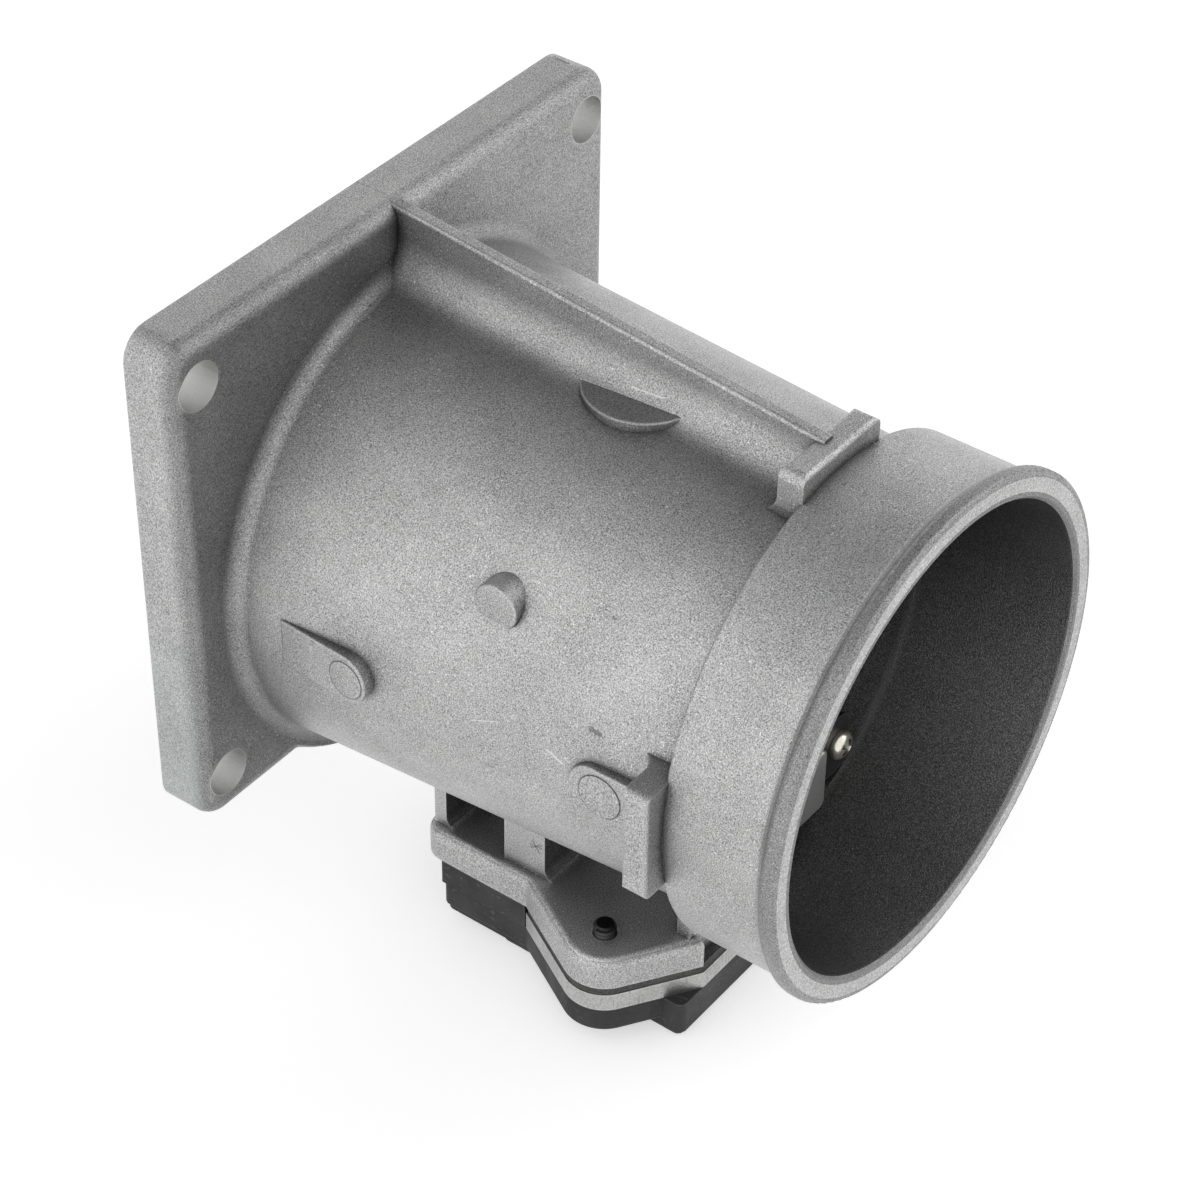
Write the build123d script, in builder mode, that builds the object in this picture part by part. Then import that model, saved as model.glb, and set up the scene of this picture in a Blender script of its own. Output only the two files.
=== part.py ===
from build123d import *
from math import acos, atan2, cos, degrees, sin, sqrt
import os

os.makedirs("parts", exist_ok=True)

# Mass airflow sensor: a cast duct with a bolted flange, a bypass passage inside
# and an electronic module screwed under it. Millimetres, Z up. The duct runs
# along Y: the mounting face is Y = 0 and the hose mouth points to -Y.

# Duct
BODY_LENGTH = 114.0
MOUTH_R = 40.0
MOUTH_CHAMFER = 0.5
THROAT_R = 36.4
THROAT_FROM_MOUTH = 27.0
INLET_R = 41.0
INLET_EDGE_R = 2.0
DUCT_WALL = 3.2

# Hose spigot
COLLAR_R = 43.3
COLLAR_LENGTH = 21.5
COLLAR_EDGE_R = 0.6
LIP_R = 44.8
LIP_BEAD = 2.2
LIP_EDGE_R = 0.9
LIP_LENGTH = 3.9

# Mounting flange
FLANGE_THICKNESS = 9.5
FLANGE_RISE = 8.8
FLANGE_CORNER_R = 5.0
FLANGE_EDGE_R = 3.0
FLANGE_RIM_LAND = 1.4
FLANGE_RIM_EDGE_R = 1.2
FLANGE_RIM_BLEND = 3.0
BASE_FILLET = 2.8
BOLT_SPACING_X = 96.0
BOLT_SPACING_Z = 78.0
BOLT_TO_EDGE_X = 6.0
BOLT_TO_EDGE_Z = 8.25
BOLT_HOLE_R = 4.2

# Web and crossbars on the outside of the duct
WEB_THICKNESS = 2.5
WEB_FILLET = 6.5
WEB_EDGE_R = 0.6
WEB_REACH_AT_BAR = 47.2
BAR_LENGTH = 20.4
BAR_THICKNESS = 3.9
BAR_FOOT_FILLET = 3.5
BAR_CORNER_R = 1.8
BAR_EDGE_R = 1.0
TOP_BAR_REACH = 46.7
SIDE_BAR_REACH = 47.5

# Pads left by the casting die
PAD_EDGE_R = 0.4
TOP_PAD_R = 10.1
TOP_PAD_REACH = 42.0
TOP_PAD_FROM_MOUTH = 56.9
SIDE_PAD_R = 4.5
SIDE_PAD_PROUD = 1.2
REAR_PAD_PROUD = 1.7
REAR_PAD_SLOPE = 0.06
REAR_PAD_FROM_MOUTH = 81.5
REAR_PAD_LENGTH = 13.5
FRONT_PAD_FROM_MOUTH = 35.3
HIGH_PAD_R = 4.0
HIGH_PAD_FROM_MOUTH = 57.2
HIGH_PAD_RISE = 21.7
HIGH_PAD_REACH = 37.0

# Platform under the duct, and its ribs
PLATFORM_DROP = 50.0
PLATFORM_THICKNESS = 6.0
PLATFORM_EDGE_R = 1.5
PLATFORM_CORNER_R = 4.0
PLATFORM_REAR_FROM_MOUTH = 85.5
PLATFORM_RELIEF = 2.2
RIB_HALF_WIDTH = 20.0
RIB_FILLET = 2.0
REAR_RIB_FROM_MOUTH = 82.9
REAR_RIB_THICKNESS = 2.5
MAIN_RIB_FROM_MOUTH = 64.9
MAIN_RIB_THICKNESS = 8.5
FRONT_RIB_THICKNESS = 2.6
FRONT_RIB_HALF_WIDTH = 16.6
BLOCK_HALF_WIDTH = 9.0
BLOCK_START_FROM_MOUTH = 40.0
BLOCK_END_FROM_MOUTH = 79.0

# Outline shared by the platform and the layers of the module
MODULE_HALF_WIDTH = 22.3
MODULE_FRONT_FROM_MOUTH = 31.0
MODULE_FRONT_HALF_WIDTH = 15.4
MODULE_WAIST_FROM_MOUTH = 62.8
MODULE_CORNER_R = 1.5
LUG_R = 7.2
LUG_X = 23.8
LUG_FROM_MOUTH = 45.2

# Gasket and base plate
GASKET_THICKNESS = 1.5
GASKET_INSET = 0.35
BASE_THICKNESS = 3.5
BASE_REAR_HALF_WIDTH = 19.2
BASE_REAR_FROM_MOUTH = 78.0
BASE_SEAT_CLEARANCE = 0.3

# Moulded housing and its lid
HOUSING_REAR_FROM_MOUTH = 81.0
HOUSING_REAR_CHAMFER = 1.5
HOUSING_FLANGE = 4.5
HOUSING_DEPTH = 8.0
HOUSING_BOX_HALF_WIDTH = 21.3
HOUSING_WALL = 2.4
CAVITY_CORNER_R = 0.8
LID_THICKNESS = 1.8
LID_LEDGE = 1.2
LID_CLEARANCE = 0.15

# Connector on the side of the housing
CONNECTOR_FROM_MOUTH = 71.6
CONNECTOR_WIDTH = 16.8
CONNECTOR_HEIGHT = 12.0
CONNECTOR_REACH = 43.0
CONNECTOR_WALL = 1.6
CONNECTOR_CORNER_R = 3.0
SOCKET_DEPTH = 16.0
LATCH_WIDTH = 5.0
LATCH_LENGTH = 5.0
LATCH_HEIGHT = 1.4
LATCH_FROM_RIM = 4.0
TERMINAL_COUNT = 4
TERMINAL_PITCH = 2.8
TERMINAL_WIDTH = 1.5
TERMINAL_THICKNESS = 0.8
TERMINAL_RECESS = 5.0
TERMINAL_CLEARANCE = 0.05
LEAD_WIDTH = 1.2
LEAD_PITCH = 2.2
LEAD_EDGE_GAP = 0.9
LEAD_BOARD_GAP = 2.2

# Bypass passage inside the duct
TOWER_HALF_WIDTH = 11.0
TOWER_TOP_DROP = 15.5
TOWER_CORNER_R = 4.0
TOWER_REAR_FROM_MOUTH = 80.0
PASSAGE_DROP = 26.2
PASSAGE_R = 5.5
PASSAGE_LEAD_IN = 1.5
HEAD_FROM_MOUTH = 28.0
HEAD_DEPTH = 9.0
HEAD_HALF_WIDTH = 18.4
HEAD_HALF_HEIGHT = 5.9
HEAD_CORNER_R = 3.0
OUTLET_FROM_MOUTH = 43.0
OUTLET_LENGTH = 9.0
OUTLET_HEIGHT = 5.0

# Plug that ends the passage, and the plate that holds it
PLATE_THICKNESS = 1.0
PLATE_FRAME_WIDTH = 2.5
PLUG_HALF_WIDTH = 7.5
PLUG_HALF_HEIGHT = 6.3
PLUG_CORNER_R = 1.5
PLUG_PROUD = 4.0
PLUG_EDGE_R = 0.6
PLUG_FLANGE_WIDTH = 1.3
PLUG_FLANGE_THICKNESS = 1.4
PLUG_SPIGOT_LENGTH = 4.0
PLUG_CLEARANCE = 0.1
PLATE_SCREW_X = 15.3
PLATE_SCREW_R = 1.5
PLATE_SCREW_LENGTH = 7.0
PLATE_SCREW_HEAD_R = 2.75
PLATE_SCREW_HEAD_HEIGHT = 2.0
PLATE_SCREW_DOME_R = 1.2

# Screws of the module
REAR_SCREW_FROM_MOUTH = 74.6
SCREW_CLEARANCE = 0.1
MODULE_SCREW_R = 2.0
MODULE_SCREW_PROUD = 2.2
MODULE_SCREW_END_CHAMFER = 0.5
MODULE_SCREW_HEAD_R = 3.4
MODULE_SCREW_HEAD_HEIGHT = 2.6
MODULE_SCREW_HEAD_EDGE_R = 0.5
WASHER_R = 3.9
WASHER_THICKNESS = 0.8
POCKET_DEPTH = 2.3
POCKET_CLEARANCE = 0.3

# Sensing probe that stands up into the passage
PROBE_FROM_MOUTH = 59.6
PROBE_R = 6.4
PROBE_CLEARANCE = 0.4
PROBE_FLANGE_WIDTH = 1.6
PROBE_FLANGE_THICKNESS = 1.5
PROBE_SHOULDER_DROP = 38.6
PROBE_TIP_DROP = 32.5
PROBE_TIP_WIDTH = 9.0
PROBE_TIP_DEPTH = 5.0
RING_SECTION_R = 0.9
RING_CLEARANCE = 0.05
POST_R = 0.35
POST_CLEARANCE = 0.05
HOT_POST_X = 3.2
COLD_POST_X = 2.0
POST_ROW_SPACING = 2.6
HOT_WIRE_R = 0.45
COLD_WIRE_R = 0.4
WIRE_OVERHANG = 0.5
RIBBON_THICKNESS = 0.2
RIBBON_WIDTH = 0.8
BOND_LENGTH = 2.0

# Circuit on the underside of the base plate
BOARD_FRONT_GAP = 0.8
BOARD_LENGTH = 16.6
BOARD_EDGE_GAP = 1.9
BOARD_THICKNESS = 0.8
TRANSISTOR_X = -12.0
TRANSISTOR_SIZE = 6.5
TRANSISTOR_HEIGHT = 2.2
CHIP_X = -2.0
CHIP_PITCH = 8.0
CHIP_COUNT = 2
CHIP_WIDTH = 5.0
CHIP_LENGTH = 8.0
CHIP_HEIGHT = 1.4
CAPACITOR_X = 11.0
RESISTOR_X = 14.5
SMALL_PART_PITCH = 3.4
SMALL_PART_COUNT = 3
CAPACITOR_LENGTH = 2.0
CAPACITOR_WIDTH = 1.3
CAPACITOR_HEIGHT = 1.2
RESISTOR_LENGTH = 3.0
RESISTOR_WIDTH = 1.6
RESISTOR_HEIGHT = 0.6

# Places worked out from the sizes above
CUT_SLACK = 5.0
FLANGE_FROM_MOUTH = BODY_LENGTH - FLANGE_THICKNESS
FLANGE_WIDTH = BOLT_SPACING_X + 2 * BOLT_TO_EDGE_X
FLANGE_HEIGHT = BOLT_SPACING_Z + 2 * BOLT_TO_EDGE_Z
FLANGE_TOP = FLANGE_RISE + FLANGE_HEIGHT / 2
FLANGE_BOTTOM = FLANGE_RISE - FLANGE_HEIGHT / 2
BARREL_R_AT_COLLAR = THROAT_R + DUCT_WALL
BARREL_R_AT_FLANGE = INLET_R + DUCT_WALL
FILLET_FOOT_R = BARREL_R_AT_FLANGE + BASE_FILLET
FLANGE_RIM_R = FILLET_FOOT_R + FLANGE_RIM_LAND
RIB_ROOT = -BARREL_R_AT_COLLAR / 2
PLATFORM_BOTTOM = -(PLATFORM_DROP + PLATFORM_THICKNESS)
GASKET_BOTTOM = PLATFORM_BOTTOM - GASKET_THICKNESS
BASE_BOTTOM = GASKET_BOTTOM - BASE_THICKNESS
HOUSING_FLANGE_BOTTOM = BASE_BOTTOM - HOUSING_FLANGE
HOUSING_BOTTOM = BASE_BOTTOM - HOUSING_DEPTH
LID_TOP = HOUSING_BOTTOM + LID_THICKNESS
SCREW_SEAT = HOUSING_FLANGE_BOTTOM + POCKET_DEPTH
SCREW_HEAD_TOP = SCREW_SEAT - WASHER_THICKNESS
SCREW_TIP = MODULE_SCREW_PROUD - PLATFORM_DROP
POCKET_R = WASHER_R + POCKET_CLEARANCE
CAVITY_HALF_WIDTH = HOUSING_BOX_HALF_WIDTH - HOUSING_WALL
CAVITY_FRONT_FROM_MOUTH = MODULE_FRONT_FROM_MOUTH + HOUSING_WALL
CAVITY_REAR_FROM_MOUTH = REAR_SCREW_FROM_MOUTH - POCKET_R - HOUSING_WALL
BAY_INNER_X = POCKET_R + HOUSING_WALL
LAST_TERMINAL_FROM_MOUTH = CONNECTOR_FROM_MOUTH + (TERMINAL_COUNT - 1) / 2 * TERMINAL_PITCH
LAST_SLOT_EDGE = LAST_TERMINAL_FROM_MOUTH + TERMINAL_WIDTH / 2 + TERMINAL_CLEARANCE
BAY_REAR_FROM_MOUTH = LAST_SLOT_EDGE + CAVITY_CORNER_R
CONNECTOR_Z = HOUSING_BOTTOM + CONNECTOR_HEIGHT / 2
SOCKET_FLOOR_X = CONNECTOR_REACH - SOCKET_DEPTH
PLATE_FROM_MOUTH = HEAD_FROM_MOUTH - PLATE_THICKNESS
WELL_R = PROBE_R + PROBE_CLEARANCE
PROBE_FLANGE_R = PROBE_R + PROBE_FLANGE_WIDTH
PROBE_BOTTOM = BASE_BOTTOM - PROBE_FLANGE_THICKNESS
RING_Z = (PLATFORM_BOTTOM - PLATFORM_DROP) / 2
RING_MAJOR_R = WELL_R - RING_CLEARANCE - RING_SECTION_R
BOARD_HALF_WIDTH = CAVITY_HALF_WIDTH - BOARD_EDGE_GAP
BOARD_FRONT_FROM_MOUTH = CAVITY_FRONT_FROM_MOUTH + BOARD_FRONT_GAP
BOARD_REAR_FROM_MOUTH = BOARD_FRONT_FROM_MOUTH + BOARD_LENGTH
BOARD_BOTTOM = BASE_BOTTOM - BOARD_THICKNESS


def from_mouth(distance):
    """Y of a plane at a distance from the hose mouth."""
    return distance - BODY_LENGTH


def bore_r(distance):
    """Radius of the tapered duct between the throat and the flange."""
    slope = (INLET_R - THROAT_R) / (FLANGE_FROM_MOUTH - THROAT_FROM_MOUTH)
    return THROAT_R + slope * (distance - THROAT_FROM_MOUTH)


def barrel_r(distance):
    """Outer radius of the barrel between the collar and the flange."""
    slope = (BARREL_R_AT_FLANGE - BARREL_R_AT_COLLAR) / (FLANGE_FROM_MOUTH - COLLAR_LENGTH)
    return BARREL_R_AT_COLLAR + slope * (distance - COLLAR_LENGTH)


def across(distance):
    """Plane across the duct, looking along the axis: X to the right and Z up."""
    return Plane.XZ.offset(-from_mouth(distance))


def nearest(sketch, x, y):
    """The corner of a sketch that lies nearest a point."""
    return sketch.vertices().sort_by_distance((x, y))[0]


def tangent_point(start, centre, radius, side):
    """Where a line from an outside point touches a circle."""
    dx, dy = start[0] - centre[0], start[1] - centre[1]
    turn = atan2(dy, dx) + side * acos(radius / sqrt(dx**2 + dy**2))
    return centre[0] + radius * cos(turn), centre[1] + radius * sin(turn)


def spread(middle, pitch, count):
    """Evenly spaced places about a middle."""
    return [middle + (i - (count - 1) / 2) * pitch for i in range(count)]


PROBE_Y = from_mouth(PROBE_FROM_MOUTH)
BOARD_Y = from_mouth(BOARD_FRONT_FROM_MOUTH) + BOARD_LENGTH / 2
TERMINAL_YS = spread(from_mouth(CONNECTOR_FROM_MOUTH), TERMINAL_PITCH, TERMINAL_COUNT)
MODULE_SCREWS = [
    (-LUG_X, from_mouth(LUG_FROM_MOUTH)),
    (LUG_X, from_mouth(LUG_FROM_MOUTH)),
    (0, from_mouth(REAR_SCREW_FROM_MOUTH)),
]
PLATE_SCREWS = [(-PLATE_SCREW_X, -PASSAGE_DROP), (PLATE_SCREW_X, -PASSAGE_DROP)]


def module_outline(rear_half_width, rear_from_mouth, rear_corner_r):
    """Two screw lugs joined to the front corners and the waist by tangents, and a
    rectangle that runs on behind the waist."""
    lug = (LUG_X, from_mouth(LUG_FROM_MOUTH))
    front = (MODULE_FRONT_HALF_WIDTH, from_mouth(MODULE_FRONT_FROM_MOUTH))
    waist = (MODULE_HALF_WIDTH, from_mouth(MODULE_WAIST_FROM_MOUTH))
    lug_start = tangent_point(front, lug, LUG_R, 1)
    lug_end = tangent_point(waist, lug, LUG_R, -1)
    rear_length = rear_from_mouth - LUG_FROM_MOUTH
    with BuildSketch() as outline:
        with BuildLine():
            Polyline((0, front[1]), front, lug_start)
            ThreePointArc(lug_start, (LUG_X + LUG_R, lug[1]), lug_end)
            Polyline(lug_end, waist, (0, waist[1]))
            mirror(about=Plane.YZ)
        make_face()
        with Locations((0, lug[1] + rear_length / 2)):
            Rectangle(2 * rear_half_width, rear_length)
        for side in (-1, 1):
            rear = nearest(outline, side * rear_half_width, from_mouth(rear_from_mouth))
            fillet(rear, radius=rear_corner_r)
            fillet(nearest(outline, side * front[0], front[1]), radius=MODULE_CORNER_R)
    return outline.sketch


PLATFORM_OUTLINE = module_outline(MODULE_HALF_WIDTH, PLATFORM_REAR_FROM_MOUTH, PLATFORM_CORNER_R)
BASE_OUTLINE = module_outline(BASE_REAR_HALF_WIDTH, BASE_REAR_FROM_MOUTH, MODULE_CORNER_R)
HOUSING_OUTLINE = module_outline(MODULE_HALF_WIDTH, HOUSING_REAR_FROM_MOUTH, MODULE_CORNER_R)


# Turned form of the duct: lip, collar and barrel, with the fillet at the flange
with BuildPart() as barrel:
    with BuildSketch(Plane.YZ) as barrel_profile:
        with BuildLine():
            Polyline(
                (from_mouth(0), 0),
                (from_mouth(0), LIP_R),
                (from_mouth(LIP_BEAD), LIP_R),
                (from_mouth(LIP_LENGTH), COLLAR_R),
                (from_mouth(COLLAR_LENGTH), COLLAR_R),
                (from_mouth(COLLAR_LENGTH), BARREL_R_AT_COLLAR),
                (-FLANGE_THICKNESS, BARREL_R_AT_FLANGE),
                (-FLANGE_THICKNESS, FILLET_FOOT_R + FLANGE_RIM_LAND / 2),
                (-FLANGE_THICKNESS / 2, FILLET_FOOT_R + FLANGE_RIM_LAND / 2),
                (-FLANGE_THICKNESS / 2, 0),
                close=True,
            )
        make_face()
        fillet(nearest(barrel_profile, from_mouth(0), LIP_R), radius=LIP_EDGE_R)
        fillet(nearest(barrel_profile, from_mouth(LIP_BEAD), LIP_R), radius=LIP_EDGE_R)
        fillet(nearest(barrel_profile, from_mouth(LIP_LENGTH), COLLAR_R), radius=LIP_EDGE_R)
        fillet(nearest(barrel_profile, from_mouth(COLLAR_LENGTH), COLLAR_R), radius=COLLAR_EDGE_R)
        fillet(nearest(barrel_profile, -FLANGE_THICKNESS, BARREL_R_AT_FLANGE), radius=BASE_FILLET)
    revolve(axis=Axis.Y)


# Round rim that clears the barrel's fillet below the flange plate
with BuildPart() as rim:
    with BuildSketch(Plane.XZ):
        Circle(FLANGE_RIM_R)
    extrude(amount=FLANGE_THICKNESS)
    fillet(rim.faces().sort_by(Axis.Y)[0].edges(), radius=FLANGE_RIM_EDGE_R)


# Flange plate with broad rounded front edges, blended into the rim from below
with BuildPart() as flange:
    with BuildSketch(Plane.XZ):
        with Locations((0, FLANGE_RISE)):
            RectangleRounded(FLANGE_WIDTH, FLANGE_HEIGHT, FLANGE_CORNER_R)
    extrude(amount=FLANGE_THICKNESS)
    fillet(flange.faces().sort_by(Axis.Y)[0].edges(), radius=FLANGE_EDGE_R)
    add(rim.part)
    bulge_x = sqrt(FLANGE_RIM_R**2 - FLANGE_BOTTOM**2)
    for side in (-1, 1):
        corner = (side * bulge_x, 0, FLANGE_BOTTOM)
        fillet(flange.edges().filter_by(Axis.Y).sort_by_distance(corner)[0], radius=FLANGE_RIM_BLEND)


def web_section(distance, reach):
    """Web in section: straight sides that run out into the barrel on arcs."""
    half = WEB_THICKNESS / 2
    radius = barrel_r(distance)
    centre_x = half + WEB_FILLET
    centre_z = sqrt((radius + WEB_FILLET) ** 2 - centre_x**2)
    foot_x = centre_x * radius / (radius + WEB_FILLET)
    foot_z = centre_z * radius / (radius + WEB_FILLET)
    with BuildSketch(across(distance)) as section:
        with BuildLine():
            Polyline((0, reach), (half, reach), (half, centre_z))
            CenterArc((centre_x, centre_z), WEB_FILLET, 180, degrees(atan2(centre_z, centre_x)))
            Polyline((foot_x, foot_z), (foot_x, foot_z - DUCT_WALL / 2), (0, foot_z - DUCT_WALL / 2))
            mirror(about=Plane.YZ)
        make_face()
        fillet(nearest(section, -half, reach), radius=WEB_EDGE_R)
        fillet(nearest(section, half, reach), radius=WEB_EDGE_R)
    return section.sketch


# Web along the top of the barrel, from the flange down to the crossbar
with BuildPart() as web:
    add(web_section(FLANGE_FROM_MOUTH + FLANGE_EDGE_R, FLANGE_TOP))
    add(web_section(COLLAR_LENGTH + BAR_THICKNESS / 2, WEB_REACH_AT_BAR))
    loft(ruled=True)


def make_crossbar(reach):
    """Crossbar flush with the collar's end, with a filleted foot on its flange side."""
    front = from_mouth(COLLAR_LENGTH - COLLAR_EDGE_R)
    rear = from_mouth(COLLAR_LENGTH) + BAR_THICKNESS
    foot = sqrt(barrel_r(COLLAR_LENGTH) ** 2 - (BAR_LENGTH / 2) ** 2)
    with BuildPart() as crossbar:
        with BuildSketch(Plane.YZ) as profile:
            with BuildLine():
                Polyline(
                    (rear + BAR_FOOT_FILLET, foot),
                    (rear + BAR_FOOT_FILLET, foot - DUCT_WALL / 2),
                    (front, foot - DUCT_WALL / 2),
                    (front, reach),
                    (rear, reach),
                    (rear, foot + BAR_FOOT_FILLET),
                )
                CenterArc(
                    (rear + BAR_FOOT_FILLET, foot + BAR_FOOT_FILLET), BAR_FOOT_FILLET, 180, 90
                )
            make_face()
            fillet(nearest(profile, front, reach), radius=BAR_EDGE_R)
            fillet(nearest(profile, rear, reach), radius=BAR_EDGE_R)
        extrude(amount=BAR_LENGTH / 2, both=True)
        with BuildSketch(Plane.XZ.offset(-rear - BAR_FOOT_FILLET)) as front_view:
            with Locations((0, reach / 2)):
                Rectangle(BAR_LENGTH, reach)
            fillet(front_view.vertices().group_by(Axis.Y)[-1], radius=BAR_CORNER_R)
        extrude(amount=rear + BAR_FOOT_FILLET - front, mode=Mode.INTERSECT)
    return crossbar.part


TOP_BAR = make_crossbar(TOP_BAR_REACH)
SIDE_BAR = make_crossbar(SIDE_BAR_REACH)


# Round shelf under the web, flat on top
with BuildPart() as top_pad:
    with BuildSketch(Plane.XY.offset(TOP_PAD_REACH)):
        with Locations((0, from_mouth(TOP_PAD_FROM_MOUTH))):
            Circle(TOP_PAD_R)
    extrude(amount=-TOP_PAD_REACH)
    fillet(top_pad.faces().sort_by(Axis.Z)[-1].edges(), radius=PAD_EDGE_R)


def make_side_pad(start, length, rise, radius, reach, slope):
    """Flat pad on the -X side, round at its start and drawn out along the duct. Its
    face falls towards the duct by the slope."""
    face = Plane(
        origin=(-reach, from_mouth(start), rise),
        x_dir=(slope, 1, 0),
        z_dir=(1, -slope, 0),
    )
    with BuildPart() as pad:
        with BuildSketch(face):
            Circle(radius)
            if length:
                with Locations((length / 2, 0)):
                    Rectangle(abs(length), 2 * radius)
        extrude(amount=reach)
        fillet(pad.faces().sort_by(Axis.X)[0].edges(), radius=PAD_EDGE_R)
    return pad.part


SIDE_PADS = [
    make_side_pad(
        REAR_PAD_FROM_MOUTH,
        REAR_PAD_LENGTH,
        0,
        SIDE_PAD_R,
        barrel_r(REAR_PAD_FROM_MOUTH) + REAR_PAD_PROUD,
        REAR_PAD_SLOPE,
    ),
    make_side_pad(
        FRONT_PAD_FROM_MOUTH,
        COLLAR_LENGTH + BAR_THICKNESS / 2 - FRONT_PAD_FROM_MOUTH,
        0,
        SIDE_PAD_R,
        barrel_r(FRONT_PAD_FROM_MOUTH) + SIDE_PAD_PROUD,
        0,
    ),
    make_side_pad(HIGH_PAD_FROM_MOUTH, 0, HIGH_PAD_RISE, HIGH_PAD_R, HIGH_PAD_REACH, 0),
]


# Platform that carries the module, with rounded upper edges and a relief in front
with BuildPart() as platform:
    with BuildSketch(Plane.XY.offset(-PLATFORM_DROP)):
        add(PLATFORM_OUTLINE)
    extrude(amount=-PLATFORM_THICKNESS)
    fillet(platform.faces().sort_by(Axis.Z)[-1].edges(), radius=PLATFORM_EDGE_R)
    with BuildSketch(Plane.XY.offset(-PLATFORM_DROP)):
        with Locations((0, from_mouth(MODULE_FRONT_FROM_MOUTH))):
            Rectangle(2 * MODULE_FRONT_HALF_WIDTH, 2 * PLATFORM_RELIEF)
    extrude(amount=-PLATFORM_THICKNESS, mode=Mode.SUBTRACT)


def make_rib(start_from_mouth, thickness, half_width, foot):
    """Rib from the platform up to the barrel, with a filleted foot on its mouth side."""
    front = from_mouth(start_from_mouth)
    floor = -PLATFORM_DROP - PLATFORM_THICKNESS / 2
    with BuildPart() as rib:
        with BuildSketch(Plane.YZ):
            with BuildLine():
                Polyline(
                    (front, foot - PLATFORM_DROP),
                    (front, RIB_ROOT),
                    (front + thickness, RIB_ROOT),
                    (front + thickness, floor),
                    (front - foot, floor),
                    (front - foot, -PLATFORM_DROP),
                )
                CenterArc((front - foot, foot - PLATFORM_DROP), foot, 270, 90)
            make_face()
        extrude(amount=half_width, both=True)
    return rib.part


RIBS = [
    make_rib(
        REAR_RIB_FROM_MOUTH - REAR_RIB_THICKNESS / 2,
        REAR_RIB_THICKNESS,
        RIB_HALF_WIDTH,
        RIB_FILLET,
    ),
    make_rib(
        MAIN_RIB_FROM_MOUTH - MAIN_RIB_THICKNESS / 2,
        MAIN_RIB_THICKNESS,
        RIB_HALF_WIDTH,
        RIB_FILLET,
    ),
]


# Thin rib along the front edge of the platform
with BuildPart() as front_rib:
    with BuildSketch(across(MODULE_FRONT_FROM_MOUTH + PLATFORM_RELIEF)):
        with Locations((0, (RIB_ROOT + PLATFORM_BOTTOM) / 2)):
            Rectangle(2 * FRONT_RIB_HALF_WIDTH, RIB_ROOT - PLATFORM_BOTTOM)
    extrude(amount=-FRONT_RIB_THICKNESS)


# Block round the probe well and the rear screw
with BuildPart() as well_block:
    block_length = BLOCK_END_FROM_MOUTH - BLOCK_START_FROM_MOUTH
    with BuildSketch(Plane.XY.offset(PLATFORM_BOTTOM)):
        with Locations((0, from_mouth(BLOCK_START_FROM_MOUTH) + block_length / 2)):
            Rectangle(2 * BLOCK_HALF_WIDTH, block_length)
    extrude(amount=RIB_ROOT - PLATFORM_BOTTOM)


def tower_block(half_width, top, corner_r, length):
    """Block that stands on the floor of the duct, rounded along its top edges."""
    with BuildPart() as block:
        with BuildSketch(across(HEAD_FROM_MOUTH)) as section:
            with Locations((0, (top - BARREL_R_AT_FLANGE) / 2)):
                Rectangle(2 * half_width, top + BARREL_R_AT_FLANGE)
            fillet(section.vertices().group_by(Axis.Y)[-1], radius=corner_r)
        extrude(amount=-length)
    return block.part


# Bypass tower and its wider head, trimmed at the middle of the duct wall
with BuildPart() as tower:
    add(
        tower_block(
            TOWER_HALF_WIDTH,
            -TOWER_TOP_DROP,
            TOWER_CORNER_R,
            TOWER_REAR_FROM_MOUTH - HEAD_FROM_MOUTH,
        )
    )
    add(
        tower_block(
            HEAD_HALF_WIDTH,
            HEAD_HALF_HEIGHT - PASSAGE_DROP,
            HEAD_CORNER_R,
            HEAD_DEPTH,
        )
    )
    with BuildSketch(Plane.YZ):
        with BuildLine():
            Polyline(
                (from_mouth(0), 0),
                (from_mouth(0), bore_r(0) + DUCT_WALL / 2),
                (0, bore_r(BODY_LENGTH) + DUCT_WALL / 2),
                (0, 0),
                close=True,
            )
        make_face()
    revolve(axis=Axis.Y, mode=Mode.INTERSECT)


def plug_outline(margin):
    """Outline of the plug's face, grown by a margin."""
    with BuildSketch() as outline:
        with Locations((0, -PASSAGE_DROP)):
            RectangleRounded(
                2 * (PLUG_HALF_WIDTH + margin),
                2 * (PLUG_HALF_HEIGHT + margin),
                PLUG_CORNER_R + margin,
            )
    return outline.sketch


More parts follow.
